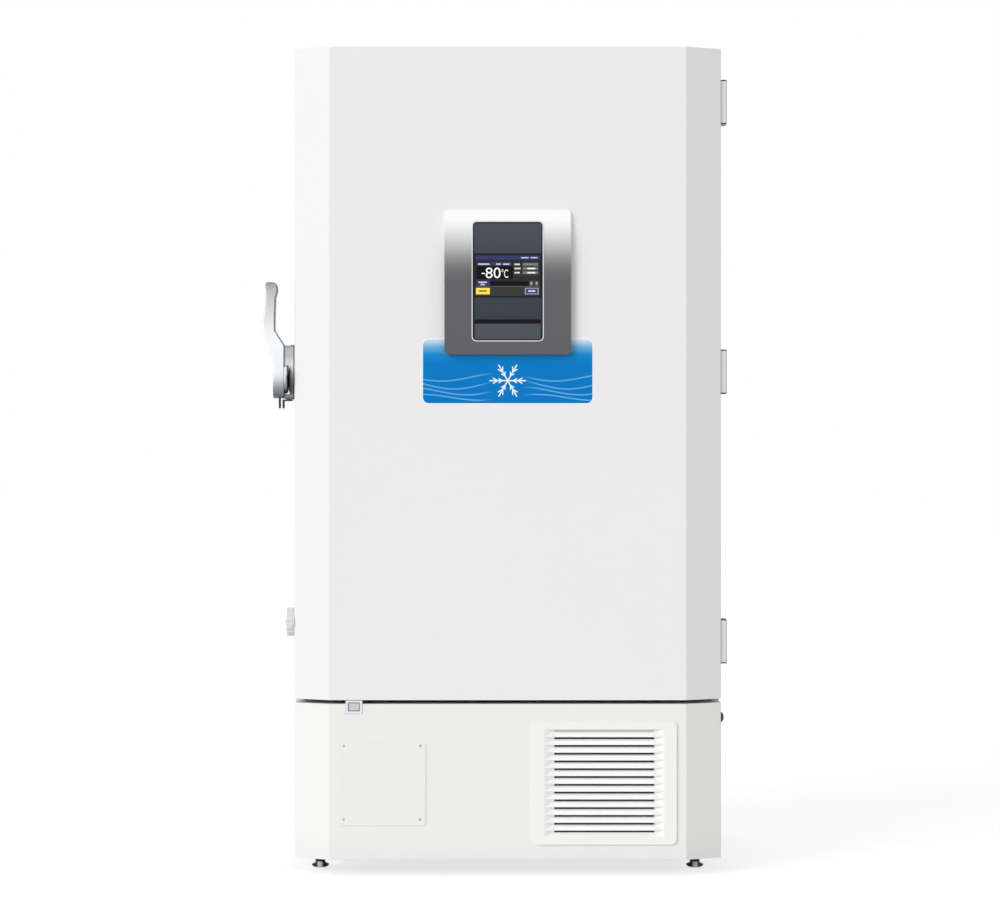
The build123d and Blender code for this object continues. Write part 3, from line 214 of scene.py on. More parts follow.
# %% Painted sheet
GRIME_HEIGHT = 0.12


def powder_coat(name, colour, roughness=0.38):
    finish = Finish(name, colour, roughness, Coat_Weight=0.12, Coat_Roughness=0.2)
    cloud = finish.noise(2.5, 3.0)
    peel = finish.noise(650.0, 2.0)
    grime = (GRIME_HEIGHT - finish.z).ramp(0.0, 0.1) * finish.noise(14.0, 4.0)
    clean = finish.mix(shade(colour, 0.985), colour, cloud)
    finish.tint(clean, shade(colour, 0.86), grime * 0.5, Roughness=cloud * 0.08 + roughness - 0.04)
    return finish.relief(peel, 0.00004, 0.35)


DOOR_WHITE = srgb(234, 234, 234)
DOOR_PAINT = powder_coat("door_paint", DOOR_WHITE)
PANEL_PAINT = powder_coat("panel_paint", srgb(235, 235, 233))
CABINET_PAINT = powder_coat("cabinet_paint", srgb(232, 232, 231))
print("paint", DOOR_WHITE[:3])

# %% [markdown]
# ## Moulded plastics
# Mouldings have a fine leather-like spark texture and no coat. The black ones gather pale dust on
# faces that look up, which is what makes black plastic look real. Each louvre of the intake grille gets
# painted shade just under its slot, turning to a painted highlight towards its lower edge, where it comes
# forward.

# %% Plastics
GRAIN_DEPTH = 0.00003
DUST = srgb(150, 146, 138)


def moulding(name, colour, roughness=0.45, grain=900.0, dust=0.0):
    """Moulded plastic, with or without dust on the faces that look up."""
    finish = Finish(name, colour, roughness)
    spark = finish.noise(grain, 3.0)
    cloud = finish.noise(9.0, 3.0)
    tone = finish.mix(shade(colour, 0.94), shade(colour, 1.03), cloud)
    if dust:
        upward = finish.add("NewGeometry").other("Normal")
        lift = finish.add("SeparateXYZ", upward).other(2).ramp(0.3, 1.0)
        tone = finish.mix(tone, DUST, lift * finish.noise(60.0, 4.0) * dust)
    finish.set(Base_Color=tone, Roughness=cloud * 0.1 + roughness - 0.05)
    return finish.relief(spark, GRAIN_DEPTH, 0.5)


LOUVRE_TOP, LOUVRE_STEP, LOUVRE_COUNT = 0.3344, 0.01867, 13
LOUVRE_ENDS = (0.112, 0.351)


def grille_finish():
    white = srgb(240, 240, 238)
    finish = Finish("grille_white", white, 0.4)
    fall = (LOUVRE_TOP - finish.z) / LOUVRE_STEP
    # Louvre bands: painted shade under each slot, painted highlight towards each louvre's lower edge.
    tone = finish.mix(srgb(200, 204, 199), srgb(250, 250, 250), fall.math("FRACT").ramp(0.1, 0.55))
    inside = (finish.x > LOUVRE_ENDS[0]) * (finish.x < LOUVRE_ENDS[1])
    inside = inside * (fall > -1.0) * (fall < LOUVRE_COUNT - 1.0)
    finish.tint(white, tone, inside)
    return finish.relief(finish.noise(900.0), GRAIN_DEPTH)


GRILLE_WHITE = grille_finish()
LINER_WHITE = moulding("liner_white", srgb(228, 229, 230), 0.5)
KNOB_GREY = moulding("knob_grey", srgb(219, 220, 221), 0.4)
FLAP_GREY = moulding("flap_grey", srgb(58, 66, 76), 0.34, 1400.0)
BLACK_PLASTIC = moulding("black_plastic", srgb(26, 26, 27), 0.5, dust=0.35)
FAN_BLACK = moulding("fan_black", srgb(34, 35, 37), 0.42, dust=0.3)
BOX_GREY = moulding("box_grey", srgb(196, 198, 200), 0.4)
print("plastics ready")

# %% [markdown]
# ## Rubber
# Seals, tyres and feet are black rubber. Rubber is matt, with a faint sheen and lighter rubbed spots.

# %% Rubber
def rubber(name, colour, roughness=0.72):
    finish = Finish(name, colour, roughness, Sheen_Weight=0.08, Sheen_Roughness=0.5)
    scuff = finish.noise(45.0, 5.0).ramp(0.52, 0.75)
    finish.tint(colour, shade(colour, 2.2), scuff * 0.5, Roughness=roughness + scuff * 0.12)
    return finish.relief(finish.noise(1500.0, 2.0), 0.00003, 0.6)


SEAL_RUBBER = rubber("seal_rubber", srgb(44, 45, 47))
SEAL_WHITE = rubber("seal_white", srgb(214, 215, 217), 0.6)
TYRE_RUBBER = rubber("tyre_rubber", srgb(36, 36, 38))
FOOT_RUBBER = rubber("foot_rubber", srgb(30, 30, 31), 0.5)
print("rubber ready")

# %% [markdown]
# ## Metals
# Brushed stainless steel has long scratches along one direction, so its noise is squeezed across them
# and drawn out along them. Zinc plate has small dull crystals, and copper darkens where it was brazed.

# %% Metals
ALONG_X, ALONG_Z, ALONG_FINS = (4, 900, 900), (900, 900, 4), (900, 900, 30)


def brushed_steel(name, colour, stretch, roughness=0.3):
    """Steel with scratches along the axis whose stretch is small."""
    finish = Finish(name, colour, roughness, 1.0)
    lines = finish.noise(1.0, 4.0, stretch)
    smear = finish.noise(5.0, 3.0)
    finish.tint(shade(colour, 0.85), colour, lines)
    finish.set(Roughness=lines * 0.16 + smear * 0.12 + roughness - 0.14)
    return finish.relief(lines, 0.00002, 0.4)


def zinc_plate(name, colour, roughness=0.36):
    finish = Finish(name, colour, roughness, 1.0)
    crystal = finish.add("TexVoronoi", Vector=finish.place, Scale=130.0).other("Color")
    tone = finish.add("SeparateXYZ", crystal)
    finish.tint(shade(colour, 0.8), shade(colour, 1.06), tone, Roughness=tone * 0.14 + roughness - 0.05)
    return finish.relief(finish.noise(400.0), 0.00002, 0.3)


def aged_copper():
    finish = Finish("copper", srgb(196, 122, 84), 0.32, 1.0)
    cloud = finish.noise(30.0, 5.0).ramp(0.4, 0.72)
    finish.tint(srgb(200, 126, 88), srgb(112, 74, 58), cloud, Roughness=cloud * 0.22 + 0.26)
    return finish.relief(finish.noise(260.0), 0.00003, 0.3)


LINER_STEEL = brushed_steel("liner_steel", srgb(206, 208, 210), ALONG_Z)
SHELF_STEEL = brushed_steel("shelf_steel", srgb(204, 206, 208), ALONG_X)
ZINC = zinc_plate("zinc", srgb(172, 174, 176))
SCREW_STEEL = zinc_plate("screw_steel", srgb(190, 192, 194), 0.26)
COPPER = aged_copper()
FIN_METAL = brushed_steel("fin_metal", srgb(188, 191, 195), ALONG_FINS, 0.34)
print("metals ready")

# %% [markdown]
# ## Lever handle finish
# The handle is die-cast, polished and lacquered in cool silver. The foot and the tip curve away from
# the light, so painted light and shade run as a ramp over the height, and the side towards the door is
# painted near black as shade. A face that looks to the right gets dark painted shade, as does a face that
# looks down, and one that looks to the left gets a little grey painted shade. The side is read from the
# object's own normals, so it stays with the handle when the handle turns.

# %% Handle silver
DARK_EDGE = -0.5176
LEVER_HEIGHTS, BASE_HEIGHTS = (1.149, 1.432), (1.147, 1.279)


def handle_finish(name, heights, stops):
    """Silver with painted light and shade: a grey level for each fraction of the height."""
    finish = Finish(name, srgb(206, 209, 213), 0.3, 0.35, Specular_IOR_Level=0.25)
    shade_levels = [(at, srgb(level - 3, level - 1, level + 3)) for at, level in stops]
    tone = finish.fade(*heights, shade_levels)
    facing = finish.add("SeparateXYZ", finish.add("TexCoord").other("Normal"))
    # Painted shade: faces towards the door, faces looking down and faces looking left; the door-side strip
    # is painted near black as shade.
    inner = facing.ramp(0.05, 0.55)
    underside_shade = (0 - facing.other(2)).ramp(0.35, 0.9)
    cloud = finish.noise(22.0, 3.0)
    edge = (finish.x - DARK_EDGE).ramp(0.0, 0.0004)
    outer = (0 - facing).ramp(0.45, 0.95) * 0.8
    side = finish.mix(tone, srgb(168, 173, 178), outer)
    side = finish.mix(side, srgb(96, 102, 102), inner.most(underside_shade * 0.7))
    finish.tint(side, srgb(30, 31, 33), edge, Roughness=cloud * 0.12 + 0.24)
    return finish.relief(finish.noise(1200.0), 0.00002, 0.3)


# Both stop lists are painted light and shade over the height, for the lever and for the base.
HANDLE_SILVER = handle_finish("handle_silver", LEVER_HEIGHTS, [
    (0.0, 60), (0.03, 106), (0.08, 140), (0.125, 178), (0.17, 220), (0.22, 240), (0.45, 245), (0.6, 235),
    (0.78, 212), (0.93, 186), (1.0, 140)])
BASE_SILVER = handle_finish("base_silver", BASE_HEIGHTS, [
    (0.0, 70), (0.06, 140), (0.12, 84), (0.3, 110), (0.5, 176), (0.64, 222), (0.8, 188), (0.93, 184),
    (1.0, 130)])
print("handle finish ready")

# %% [markdown]
# ## Control panel surround
# The surround is one curved silver moulding. Where it rounds over at the top it catches the light, so a
# painted highlight fades from near white there to mid grey lower down, and a thin painted highlight runs
# round its window as a bright rim. Both are painted by height and by distance from the window's outline,
# so they stay where they are from any side.

# %% Surround finish
WINDOW = ((-0.0865, 0.0865), (1.2845, 1.5744))
WINDOW_RADIUS = 0.012
SURROUND_Z = (1.254, 1.5995)
RIM_INSET, RIM_HALF = 0.0012, (0.0008, 0.0016)
FASCIA_FADE = (1.33, 1.56)
FASCIA_EDGE = (-0.0062, -0.0048)
SLOT_TOP = 1.3376
SLOT_DEPTH = DOOR_FRONT - 0.0145


def frame_distance(finish, x, z, radius):
    """Distance from a rounded rectangle, below zero inside it."""
    half_x = (x[1] - x[0]) / 2 - radius
    half_z = (z[1] - z[0]) / 2 - radius
    over_x = abs(finish.x - (x[0] + x[1]) / 2) - half_x
    over_z = abs(finish.z - (z[0] + z[1]) / 2) - half_z
    corner_x = over_x.most(0.0)
    corner_z = over_z.most(0.0)
    outside = (corner_x * corner_x + corner_z * corner_z).math("SQRT")
    return outside + over_x.most(over_z).least(0.0) - radius


def surround_finish():
    finish = Finish("surround", srgb(104, 104, 106), 0.42, Specular_IOR_Level=0.12)
    # The fade is a painted highlight where the top rounds over. The rim is a painted highlight on the
    # window's edge.
    fade = finish.fade(*SURROUND_Z, [
        (0.0, srgb(96, 96, 98)), (0.5, srgb(100, 100, 102)), (0.565, srgb(108, 108, 110)),
        (0.62, srgb(127, 127, 128)), (0.68, srgb(155, 155, 156)), (0.8, srgb(212, 212, 212)),
        (0.87, srgb(236, 236, 236)), (0.94, srgb(252, 252, 252))])
    painted_rim = 1 - abs(frame_distance(finish, *WINDOW, WINDOW_RADIUS) + RIM_INSET).ramp(*RIM_HALF)
    with_rim_highlight = finish.mix(fade, srgb(222, 223, 225), painted_rim)
    brush = finish.noise(1.0, 3.0, (900, 900, 12))
    finish.tint(with_rim_highlight, srgb(60, 60, 62), brush * 0.05, Roughness=brush * 0.1 + 0.36)
    return finish.relief(brush, 0.00002, 0.3)


def fascia_finish():
    """Dark lacquer: painted light paler towards its top, painted shade near black at its edge and in the
    slot.
    """
    finish = Finish("fascia", srgb(66, 72, 82), 0.4, Specular_IOR_Level=0.15)
    # The fade over the height is painted light and shade on the curved fascia.
    fade = finish.fade(*FASCIA_FADE, [
        (0.0, srgb(52, 60, 69)), (0.5, srgb(60, 66, 75)), (1.0, srgb(70, 75, 85))])
    edge = frame_distance(finish, *WINDOW, WINDOW_RADIUS).ramp(*FASCIA_EDGE)
    slot_shade = (finish.y - SLOT_DEPTH).ramp(0.0, 0.0006) * (SLOT_TOP - finish.z).ramp(-0.0004, 0.0)
    finish.tint(fade, srgb(9, 10, 12), edge.most(slot_shade))
    return finish.relief(finish.noise(1500.0), 0.00002, 0.4)


SURROUND = surround_finish()
FASCIA = fascia_finish()
print("surround and fascia ready")

# %% [markdown]
# ## Touch screen
# The display is a flat glass with a lit menu behind it. A menu is made of boxes, so each one is a
# mask in X and Z, and the colours are laid over each other from back to front. Plain bars stand where
# a real menu has words. The glass is smooth and reflects, and the menu glows a little.

# %% Screen finish
def box_mask(finish, x, z):
    inside_x = abs(finish.x - (x[0] + x[1]) / 2 * MM) < (x[1] - x[0]) / 2 * MM
    inside_z = abs(finish.z - (z[0] + z[1]) / 2 * MM) < (z[1] - z[0]) / 2 * MM
    return inside_x * inside_z


NAVY, PALE, GLASS = (49, 52, 98), (196, 198, 214), (20, 23, 27)
GREY, PILL, KEY, LINE, BLUE_KEY = (206,) * 3, (112,) * 3, (76,) * 3, (80, 80, 82), (150, 150, 170)
MENU = [
    (-78, 78, 1392.5, 1491.5, (36, 38, 40)), (-77, 77, 1394, 1416, (50, 50, 49)),
    (-77, 77, 1416, 1417.2, (92, 92, 92)), (-77, 77, 1481, 1490, NAVY),
    (32, 50, 1484, 1486.6, PALE), (55, 71, 1484, 1486.6, PALE),
    (-74, 9.5, 1466, 1474, NAVY), (-71, -44, 1468.4, 1471.4, PALE),
    (-28, -17, 1468.4, 1471.4, PALE), (-11, 4, 1468.4, 1471.4, PALE),
    (-75, 12.5, 1434.5, 1465.3, (3, 3, 4)), (15, 76, 1463.6, 1464.2, LINE),
    (15, 76, 1453.6, 1454.2, LINE), (15, 76, 1443.6, 1444.2, LINE),
    (16, 29, 1467.6, 1471.2, GREY), (16, 31, 1457.6, 1461.2, GREY),
    (16, 29, 1447.6, 1451.2, GREY), (36, 73, 1466.4, 1472.6, PILL),
    (36, 73, 1456.4, 1462.6, PILL), (36, 73, 1446.4, 1452.6, PILL),
    (47, 66, 1457.8, 1461, (226,) * 3), (47, 66, 1447.8, 1451, (226,) * 3),
    (-74, -43, 1417.6, 1430.5, NAVY), (-70, -50, 1425, 1428, PALE),
    (-65, -55, 1419.6, 1422.4, PALE), (-43, 50, 1417.6, 1429, (5, 5, 14)),
    (52, 61.5, 1418, 1430, KEY), (64.5, 74, 1418, 1430, KEY),
    (55, 58.5, 1421, 1427, (168,) * 3), (67.5, 71, 1421, 1427, (168,) * 3),
    (-76, -43, 1397.6, 1413, (250, 208, 84)), (-69, -50, 1403.6, 1407.4, (120, 92, 28)),
    (41, 74, 1397.6, 1413, BLUE_KEY), (43.5, 71.5, 1399.6, 1411, NAVY),
    (49, 66, 1403.6, 1407.4, PALE),
]


def screen_finish():
    colour = srgb(*GLASS)
    finish = Finish("touch_screen", colour, 0.16, Specular_IOR_Level=0.12, Emission_Strength=0.25)
    for left, right, low, high, tone in MENU:
        inside = box_mask(finish, (left, right), (low, high))
        colour = finish.mix(colour, srgb(*tone), inside)
    finish.set(Base_Color=colour, Emission_Color=colour)
    return finish.material


SCREEN = screen_finish()
print("menu boxes", len(MENU))

# %% [markdown]
# ## Front label
# The label is a glossy blue sheet that fades to pale towards its top edge. It carries a plain motif of
# its own: four slow waves and a six-armed snow crystal, drawn by their formulas. A crystal repeats
# every 60 degrees, so one arm is drawn in a folded angle, and the fold makes the other five.

# %% Label finish
LABEL_X = 0.2055
LABEL_Z = (1.1348, 1.2926)
LABEL_CORNER, LABEL_BORDER = 0.016, (-0.0024, -0.0016)
CRYSTAL = (0.0, 1.191)
CRYSTAL_ARM, ARM_HALF, BRANCH_HALF = 0.044, 0.0015, 0.0013
BRANCHES = ((0.013, 0.009), (0.024, 0.0115))
BRANCH_SLOPE = (0.87, 0.5)
WAVES = ((1.151, 0.007, 0.0), (1.166, 0.009, 0.7), (1.182, 0.011, 1.4), (1.199, 0.009, 2.1))
WAVE_RATE = 23.0


def crystal_mask(finish):
    """A snow crystal: six arms, each with two pairs of side branches."""
    across = finish.x - CRYSTAL[0]
    up = finish.z - CRYSTAL[1]
    radius = (across * across + up * up).math("SQRT")
    turn = up.math("ARCTAN2", across) + math.pi / 6
    sector = math.pi / 3
    folded = abs(turn.math("WRAP", sector, 0.0) - sector / 2)
    along = radius * folded.math("COSINE")
    aside = radius * folded.math("SINE")
    line = (aside < ARM_HALF) * (along < CRYSTAL_ARM)
    for start, length in BRANCHES:
        slope = abs(aside * BRANCH_SLOPE[0] - (along - start) * BRANCH_SLOPE[1])
        line = line.most((slope < BRANCH_HALF) * (along > start) * (along < start + length))
    return line


def label_finish():
    blue = srgb(1, 122, 198)
    finish = Finish("front_label", blue, 0.3, Specular_IOR_Level=0.1)
    colour = finish.fade(*LABEL_Z, [
        (0.0, srgb(1, 118, 194)), (0.62, blue), (0.76, srgb(22, 138, 206)), (0.87, srgb(110, 176, 222)),
        (1.0, srgb(226, 238, 247))])
    thin = (abs(finish.x) - 0.03).ramp(0.0, 0.05)
    for level, swing, phase in WAVES:
        wave = (finish.x * WAVE_RATE + phase).math("SINE") * swing + level
        stroke = 1 - abs(finish.z - wave).ramp(0.0006, 0.0022)
        colour = finish.mix(colour, srgb(116, 190, 234), stroke * thin * 0.75)
    colour = finish.mix(colour, srgb(240, 248, 253), crystal_mask(finish))
    edge = frame_distance(finish, (-LABEL_X, LABEL_X), LABEL_Z, LABEL_CORNER).ramp(*LABEL_BORDER)
    finish.tint(colour, srgb(250, 250, 250), edge)
    return finish.material


LABEL = label_finish()
print("label ready")

# %% [markdown]
# ## Hinges and sensor
# Each hinge has a pale cover between two black end caps, with a black strip at its front edge. The
# sensor is a near white moulding round a grey window, whose darker rim is painted shade at the window's
# edge. The parts of each are one moulding in the frame, so their colours are split by place.

# %% Hinge and sensor finishes
HINGE_EDGE, HINGE_FRONT = 0.5275, -0.3835
HINGE_CAP, HINGE_LENGTH = 0.003, 0.107
HINGE_PALE = srgb(216, 219, 225)
SENSOR_WINDOW = ((-0.3825, -0.3555), (0.3985, 0.418))
SENSOR_CORNER = 0.001
SENSOR_PALE = srgb(232, 233, 235)


def hinge_finish():
    finish = Finish("hinge_cover", HINGE_PALE, 0.35)
    dark = (finish.x > HINGE_EDGE) * (finish.y < HINGE_FRONT)
    for low, high in HINGE_SPANS:
        middle, half = (low + high) / 2, (high - low) / 2
        above = abs(finish.z - middle)
        dark = dark.most((above > half - HINGE_CAP) * (above < half + HINGE_CAP))
    finish.tint(HINGE_PALE, srgb(26, 27, 30), dark)
    return finish.relief(finish.noise(500.0, 3.0), 0.00002, 0.4)


def sensor_finish():
    finish = Finish("sensor", SENSOR_PALE, 0.4)
    distance = frame_distance(finish, *SENSOR_WINDOW, SENSOR_CORNER)
    # The darker rim round the window is painted shade.
    painted_rim = 1 - abs(distance).ramp(0.0006, 0.0016)
    inside = 1 - distance.ramp(-0.0004, 0.0004)
    tone = finish.mix(SENSOR_PALE, srgb(201, 202, 208), inside)
    finish.tint(tone, srgb(116, 118, 126), painted_rim)
    return finish.relief(finish.noise(900.0, 2.0), 0.00002, 0.4)


low_leaf, high_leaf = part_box("door_hinge_leaves")
spare = (high_leaf[2] - low_leaf[2] - HINGE_LENGTH) / 2
hinge_bottoms = [low_leaf[2] + step * spare for step in range(3)]
HINGE_SPANS = [(bottom, bottom + HINGE_LENGTH) for bottom in hinge_bottoms]
HINGE_LIGHT = hinge_finish()
SENSOR_GREY = sensor_finish()
print("hinges at", [round(bottom, 4) for bottom in hinge_bottoms])

# %% [markdown]
# ## Inside and behind
# Foam is a mass of small cells, the vacuum panels are wrapped in wrinkled foil, the intake filter is a
# fine mesh, and compressor shells are black enamel over a forged skin.

# %% Finishes of hidden pieces
def foam_finish():
    finish = Finish("foam", srgb(232, 216, 158), 0.9)
    cells = finish.add("TexVoronoi", Vector=finish.place, Scale=420.0)
    finish.tint(srgb(206, 186, 126), srgb(238, 224, 172), cells)
    return finish.relief(cells, 0.0006, 0.8)


def foil_finish():
    finish = Finish("foil", srgb(198, 200, 203), 0.3, 0.9)
    crease = finish.noise(38.0, 5.0)
    finish.set(Roughness=crease * 0.3 + 0.15)
    return finish.relief(crease, 0.0015, 0.7)


STRAND_RATE = 1100.0


def mesh_finish():
    finish = Finish("filter_mesh", srgb(68, 62, 52), 0.8)
    across = (finish.x * STRAND_RATE).math("SINE")
    up = (finish.z * STRAND_RATE).math("SINE")
    strand = abs(across).most(abs(up)).ramp(0.6, 0.95)
    finish.tint(srgb(14, 14, 15), srgb(78, 80, 82), strand)
    return finish.relief(strand, 0.0004, 0.8)


def enamel_finish():
    finish = Finish("compressor_enamel", srgb(30, 30, 32), 0.3, Coat_Weight=0.5, Coat_Roughness=0.15)
    skin = finish.noise(70.0, 4.0)
    finish.tint(srgb(22, 22, 24), srgb(42, 42, 45), skin, Roughness=skin * 0.2 + 0.25)
    return finish.relief(skin, 0.0003, 0.4)


def door_panel_finish():
    finish = Finish("inner_door_panel", srgb(222, 225, 228), 0.3, 0.25)
    cloud = finish.noise(3.0, 3.0)
    pebble = finish.add("TexVoronoi", Vector=finish.place, Scale=260.0)
    tone = finish.mix(srgb(212, 215, 219), srgb(228, 230, 233), cloud)
    finish.set(Base_Color=tone, Roughness=cloud * 0.1 + 0.3)
    return finish.relief(pebble, 0.0001, 0.4)


FOAM = foam_finish()
FOIL = foil_finish()
FILTER_MESH = mesh_finish()
ENAMEL = enamel_finish()
INNER_PANEL = door_panel_finish()
print("hidden finishes ready")

# %% [markdown]
# ## Finishes on the CAD pieces
# A CAD piece whose shape is right keeps its mesh and only gets its finish.

# %% Hand out the finishes
SLOT_FINISH = {
    "white_paint": CABINET_PAINT, "white_plastic": LINER_WHITE, "foam": FOAM,
    "inner_door_panel": INNER_PANEL, "stainless": LINER_STEEL, "copper": COPPER, "zinc_steel": ZINC,
    "hinge_paint": HINGE_LIGHT,
    "seal_rubber": SEAL_RUBBER, "sensor_plastic": SENSOR_GREY, "compressor_shell": ENAMEL,
    "finned_aluminium": FIN_METAL, "filter_mesh": FILTER_MESH, "fan_plastic": FAN_BLACK,
    "control_box_shell": BOX_GREY, "black_plastic": BLACK_PLASTIC, "silver_grey": SURROUND,
    "dark_fascia": FASCIA, "screen_glass": SCREEN, "label_blue": LABEL, "handle_silver": HANDLE_SILVER,
    "knob_grey": KNOB_GREY, "caster_tyre": TYRE_RUBBER, "foot_black": FOOT_RUBBER,
}
OWN_FINISH = {
    "door_skin": DOOR_PAINT, "lower_front_panel": PANEL_PAINT, "recorder_blank_plate": PANEL_PAINT,
    "front_grille": GRILLE_WHITE, "vacuum_panels": FOIL, "usb_flap": FLAP_GREY,
    "shelf_lower": SHELF_STEEL, "shelf_middle": SHELF_STEEL, "shelf_upper": SHELF_STEEL,
    "shelf_rails": SHELF_STEEL, "inner_gasket_upper": SEAL_WHITE, "inner_gasket_lower": SEAL_WHITE,
    "door_hinge_leaves": HINGE_LIGHT, "cabinet_hinge_leaves": ZINC, "handle_base": BASE_SILVER,
}
NODE_SLOT = {entry["node"]: entry["material_slot"] for entry in frame["record"]["subparts"]}


def finish_of(node):
    return OWN_FINISH.get(node, SLOT_FINISH[NODE_SLOT[node]])


for node, cad_object in NODES.items():
    for holder in cad_object.material_slots:
        holder.material = finish_of(node)
print("finishes on", len(NODES), "nodes")

# %% [markdown]
# ## Soft edges
# No real edge is perfectly sharp: folded sheet, mouldings and castings all have a small round that
# catches the light. A CAD mesh is loose triangles, so a copy of it is merged, its flat faces are
# dissolved, and a Bevel modifier rounds the edges. The copy then stands for the CAD piece.

# %% Helpers for pieces
def activate(thing):
    """Select one object alone and make it the active one."""
    bpy.ops.object.select_all(action="DESELECT")
    thing.select_set(True)
    bpy.context.view_layer.objects.active = thing


def use_modifier(thing, kind, **settings):
    activate(thing)
    modifier = thing.modifiers.new(kind.lower(), kind)
    for key, value in settings.items():
        setattr(modifier, key, value)
    bpy.ops.object.modifier_apply(modifier=modifier.name)


def round_edges(thing, width):
    """Small rounds on every sharp edge, with flat faces kept flat in the shading."""
    activate(thing)
    bpy.ops.object.shade_smooth()
    use_modifier(thing, "BEVEL", width=width, segments=2, limit_method="ANGLE",
                 angle_limit=math.radians(30), use_clamp_overlap=True)
    use_modifier(thing, "WEIGHTED_NORMAL", weight=80, keep_sharp=False)


def edit_all(thing, *steps):
    """Run operators in edit mode on the whole mesh, each with its settings."""
    activate(thing)
    bpy.ops.object.mode_set(mode="EDIT")
    for operator, settings in steps:
        bpy.ops.mesh.select_all(action="SELECT")
        operator(**settings)
    bpy.ops.object.mode_set(mode="OBJECT")


def merged_copy(node, name):
    """A copy of a CAD mesh with its triangles joined and its flat faces dissolved."""
    thing = bpy.data.objects.new(name, NODES[node].data.copy())
    bpy.context.scene.collection.objects.link(thing)
    activate(thing)
    bpy.ops.mesh.customdata_custom_splitnormals_clear()
    edit_all(thing, (bpy.ops.mesh.remove_doubles, {"threshold": 0.000004}),
             (bpy.ops.mesh.dissolve_limited, {"angle_limit": math.radians(0.5)}))
    return thing


def shifted_copy(thing, name, shift):
    """A copy with its own mesh, made before the piece is handed in."""
    copy = thing.copy()
    copy.data = thing.data.copy()
    copy.name = name
    copy.location = shift
    bpy.context.scene.collection.objects.link(copy)
    activate(copy)
    bpy.ops.object.transform_apply(location=True)
    return copy


def face_middle(node, axis, end):
    """The middle of one face of a node's box: the low (0) or the high (1) one of an axis."""
    spot = (Vector(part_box(node)[0]) + Vector(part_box(node)[1])) / 2
    spot[axis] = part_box(node)[end][axis]
    return spot


def hand_in(thing, body, finish, slot, *replaced):
    """Material, body and the nodes that a finished piece stands for; the slot is not used."""
    thing.data.materials.clear()
    thing.data.materials.append(finish)
    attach(thing, body)
    if replaced:
        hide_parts(*replaced)


BODY_OF = {node: body for body, nodes in frame["record"]["behaviour"]["bodies"].items() for node in nodes}


def soften(node, width):
    thing = merged_copy(node, node + "_soft")
    round_edges(thing, width * MM)
    hand_in(thing, BODY_OF[node], finish_of(node), NODE_SLOT[node], node)
    return thing


print("nodes with a body:", len(BODY_OF))

# %% Soft-edged pieces
EDGE_ROUNDS = {
    "door_skin": 1.2, "lower_front_panel": 1.2, "side_panel_left": 1.0, "side_panel_right": 1.0,
    "top_panel": 1.0, "recorder_blank_plate": 0.6, "control_bezel": 1.2, "usb_flap": 0.5,
    "handle_base": 1.0, "latch_striker": 0.6, "vacuum_release_knob": 1.2,
    "door_hinge_leaves": 1.6, "cabinet_hinge_leaves": 0.8, "door_sensor": 0.8,
    "breaker_frame": 0.8, "shelf_lower": 0.6, "shelf_middle": 0.6, "shelf_upper": 0.6,
    "inner_door_upper": 1.5, "inner_door_lower": 1.5, "wall_anchors": 1.0, "power_inlet": 0.4,
    "control_box": 1.0, "door_gasket": 3.0, "inner_gasket_upper": 1.5, "inner_gasket_lower": 1.5,
}
for node, width in EDGE_ROUNDS.items():
    piece = soften(node, width)
    print(node, len(piece.data.polygons), "faces")

# %% [markdown]
# ## Lathe-turned pieces
# Bosses, feet, wheels, screws and domes are round, so they are turned: a profile is drawn point by point
# with the extrude tool, and spun once about its axis.

# %% Turned pieces
def turned(name, centre, axis, profile, steps=48, smooth=35):
    """Spin a profile of radius and distance along the axis, in millimetres."""
    centre, axis = Vector(centre), Vector(axis).normalized()
    aside = axis.orthogonal().normalized()
    points = [centre + (aside * radius + axis * along) * MM for radius, along in profile]
    bpy.ops.object.select_all(action="DESELECT")
    bpy.ops.mesh.primitive_plane_add(size=MM, location=points[0])
    thing = bpy.context.object
    thing.name = name
    bpy.ops.object.transform_apply(location=True)
    bpy.ops.object.mode_set(mode="EDIT")
    bpy.ops.mesh.select_all(action="SELECT")
    bpy.ops.mesh.merge(type="CENTER")
    for start, end in zip(points, points[1:]):
        bpy.ops.mesh.extrude_vertices_move(TRANSFORM_OT_translate={"value": end - start})
    bpy.ops.object.mode_set(mode="OBJECT")
    spin = {"steps": steps, "angle": math.tau, "center": centre, "axis": axis}
    edit_all(thing, (bpy.ops.mesh.spin, spin), (bpy.ops.mesh.remove_doubles, {"threshold": 0.00002}),
             (bpy.ops.mesh.normals_make_consistent, {"inside": False}))
    bpy.ops.object.shade_smooth_by_angle(angle=math.radians(smooth))
    return thing


def cut_away(thing, point, normal):
    """Cut with a plane, drop what lies on the normal's side and close the cut."""
    settings = {"plane_co": point, "plane_no": normal, "use_fill": True, "clear_outer": True}
    edit_all(thing, (bpy.ops.mesh.bisect, settings))


print("lathe ready, profiles in units of", MM, "m")

# %% [markdown]
# ## Lever handle
# The frame's lever has the right outline but sharp edges, and a real casting is round all over. Its grip
# and foot are cut off from the thin hook and ear, remeshed with small voxels and smoothed, which rounds
# each edge by about three millimetres. Hook and ear stay crisp. A round hub closes the foot towards the
# door, and a black dome stands on the base inside it.

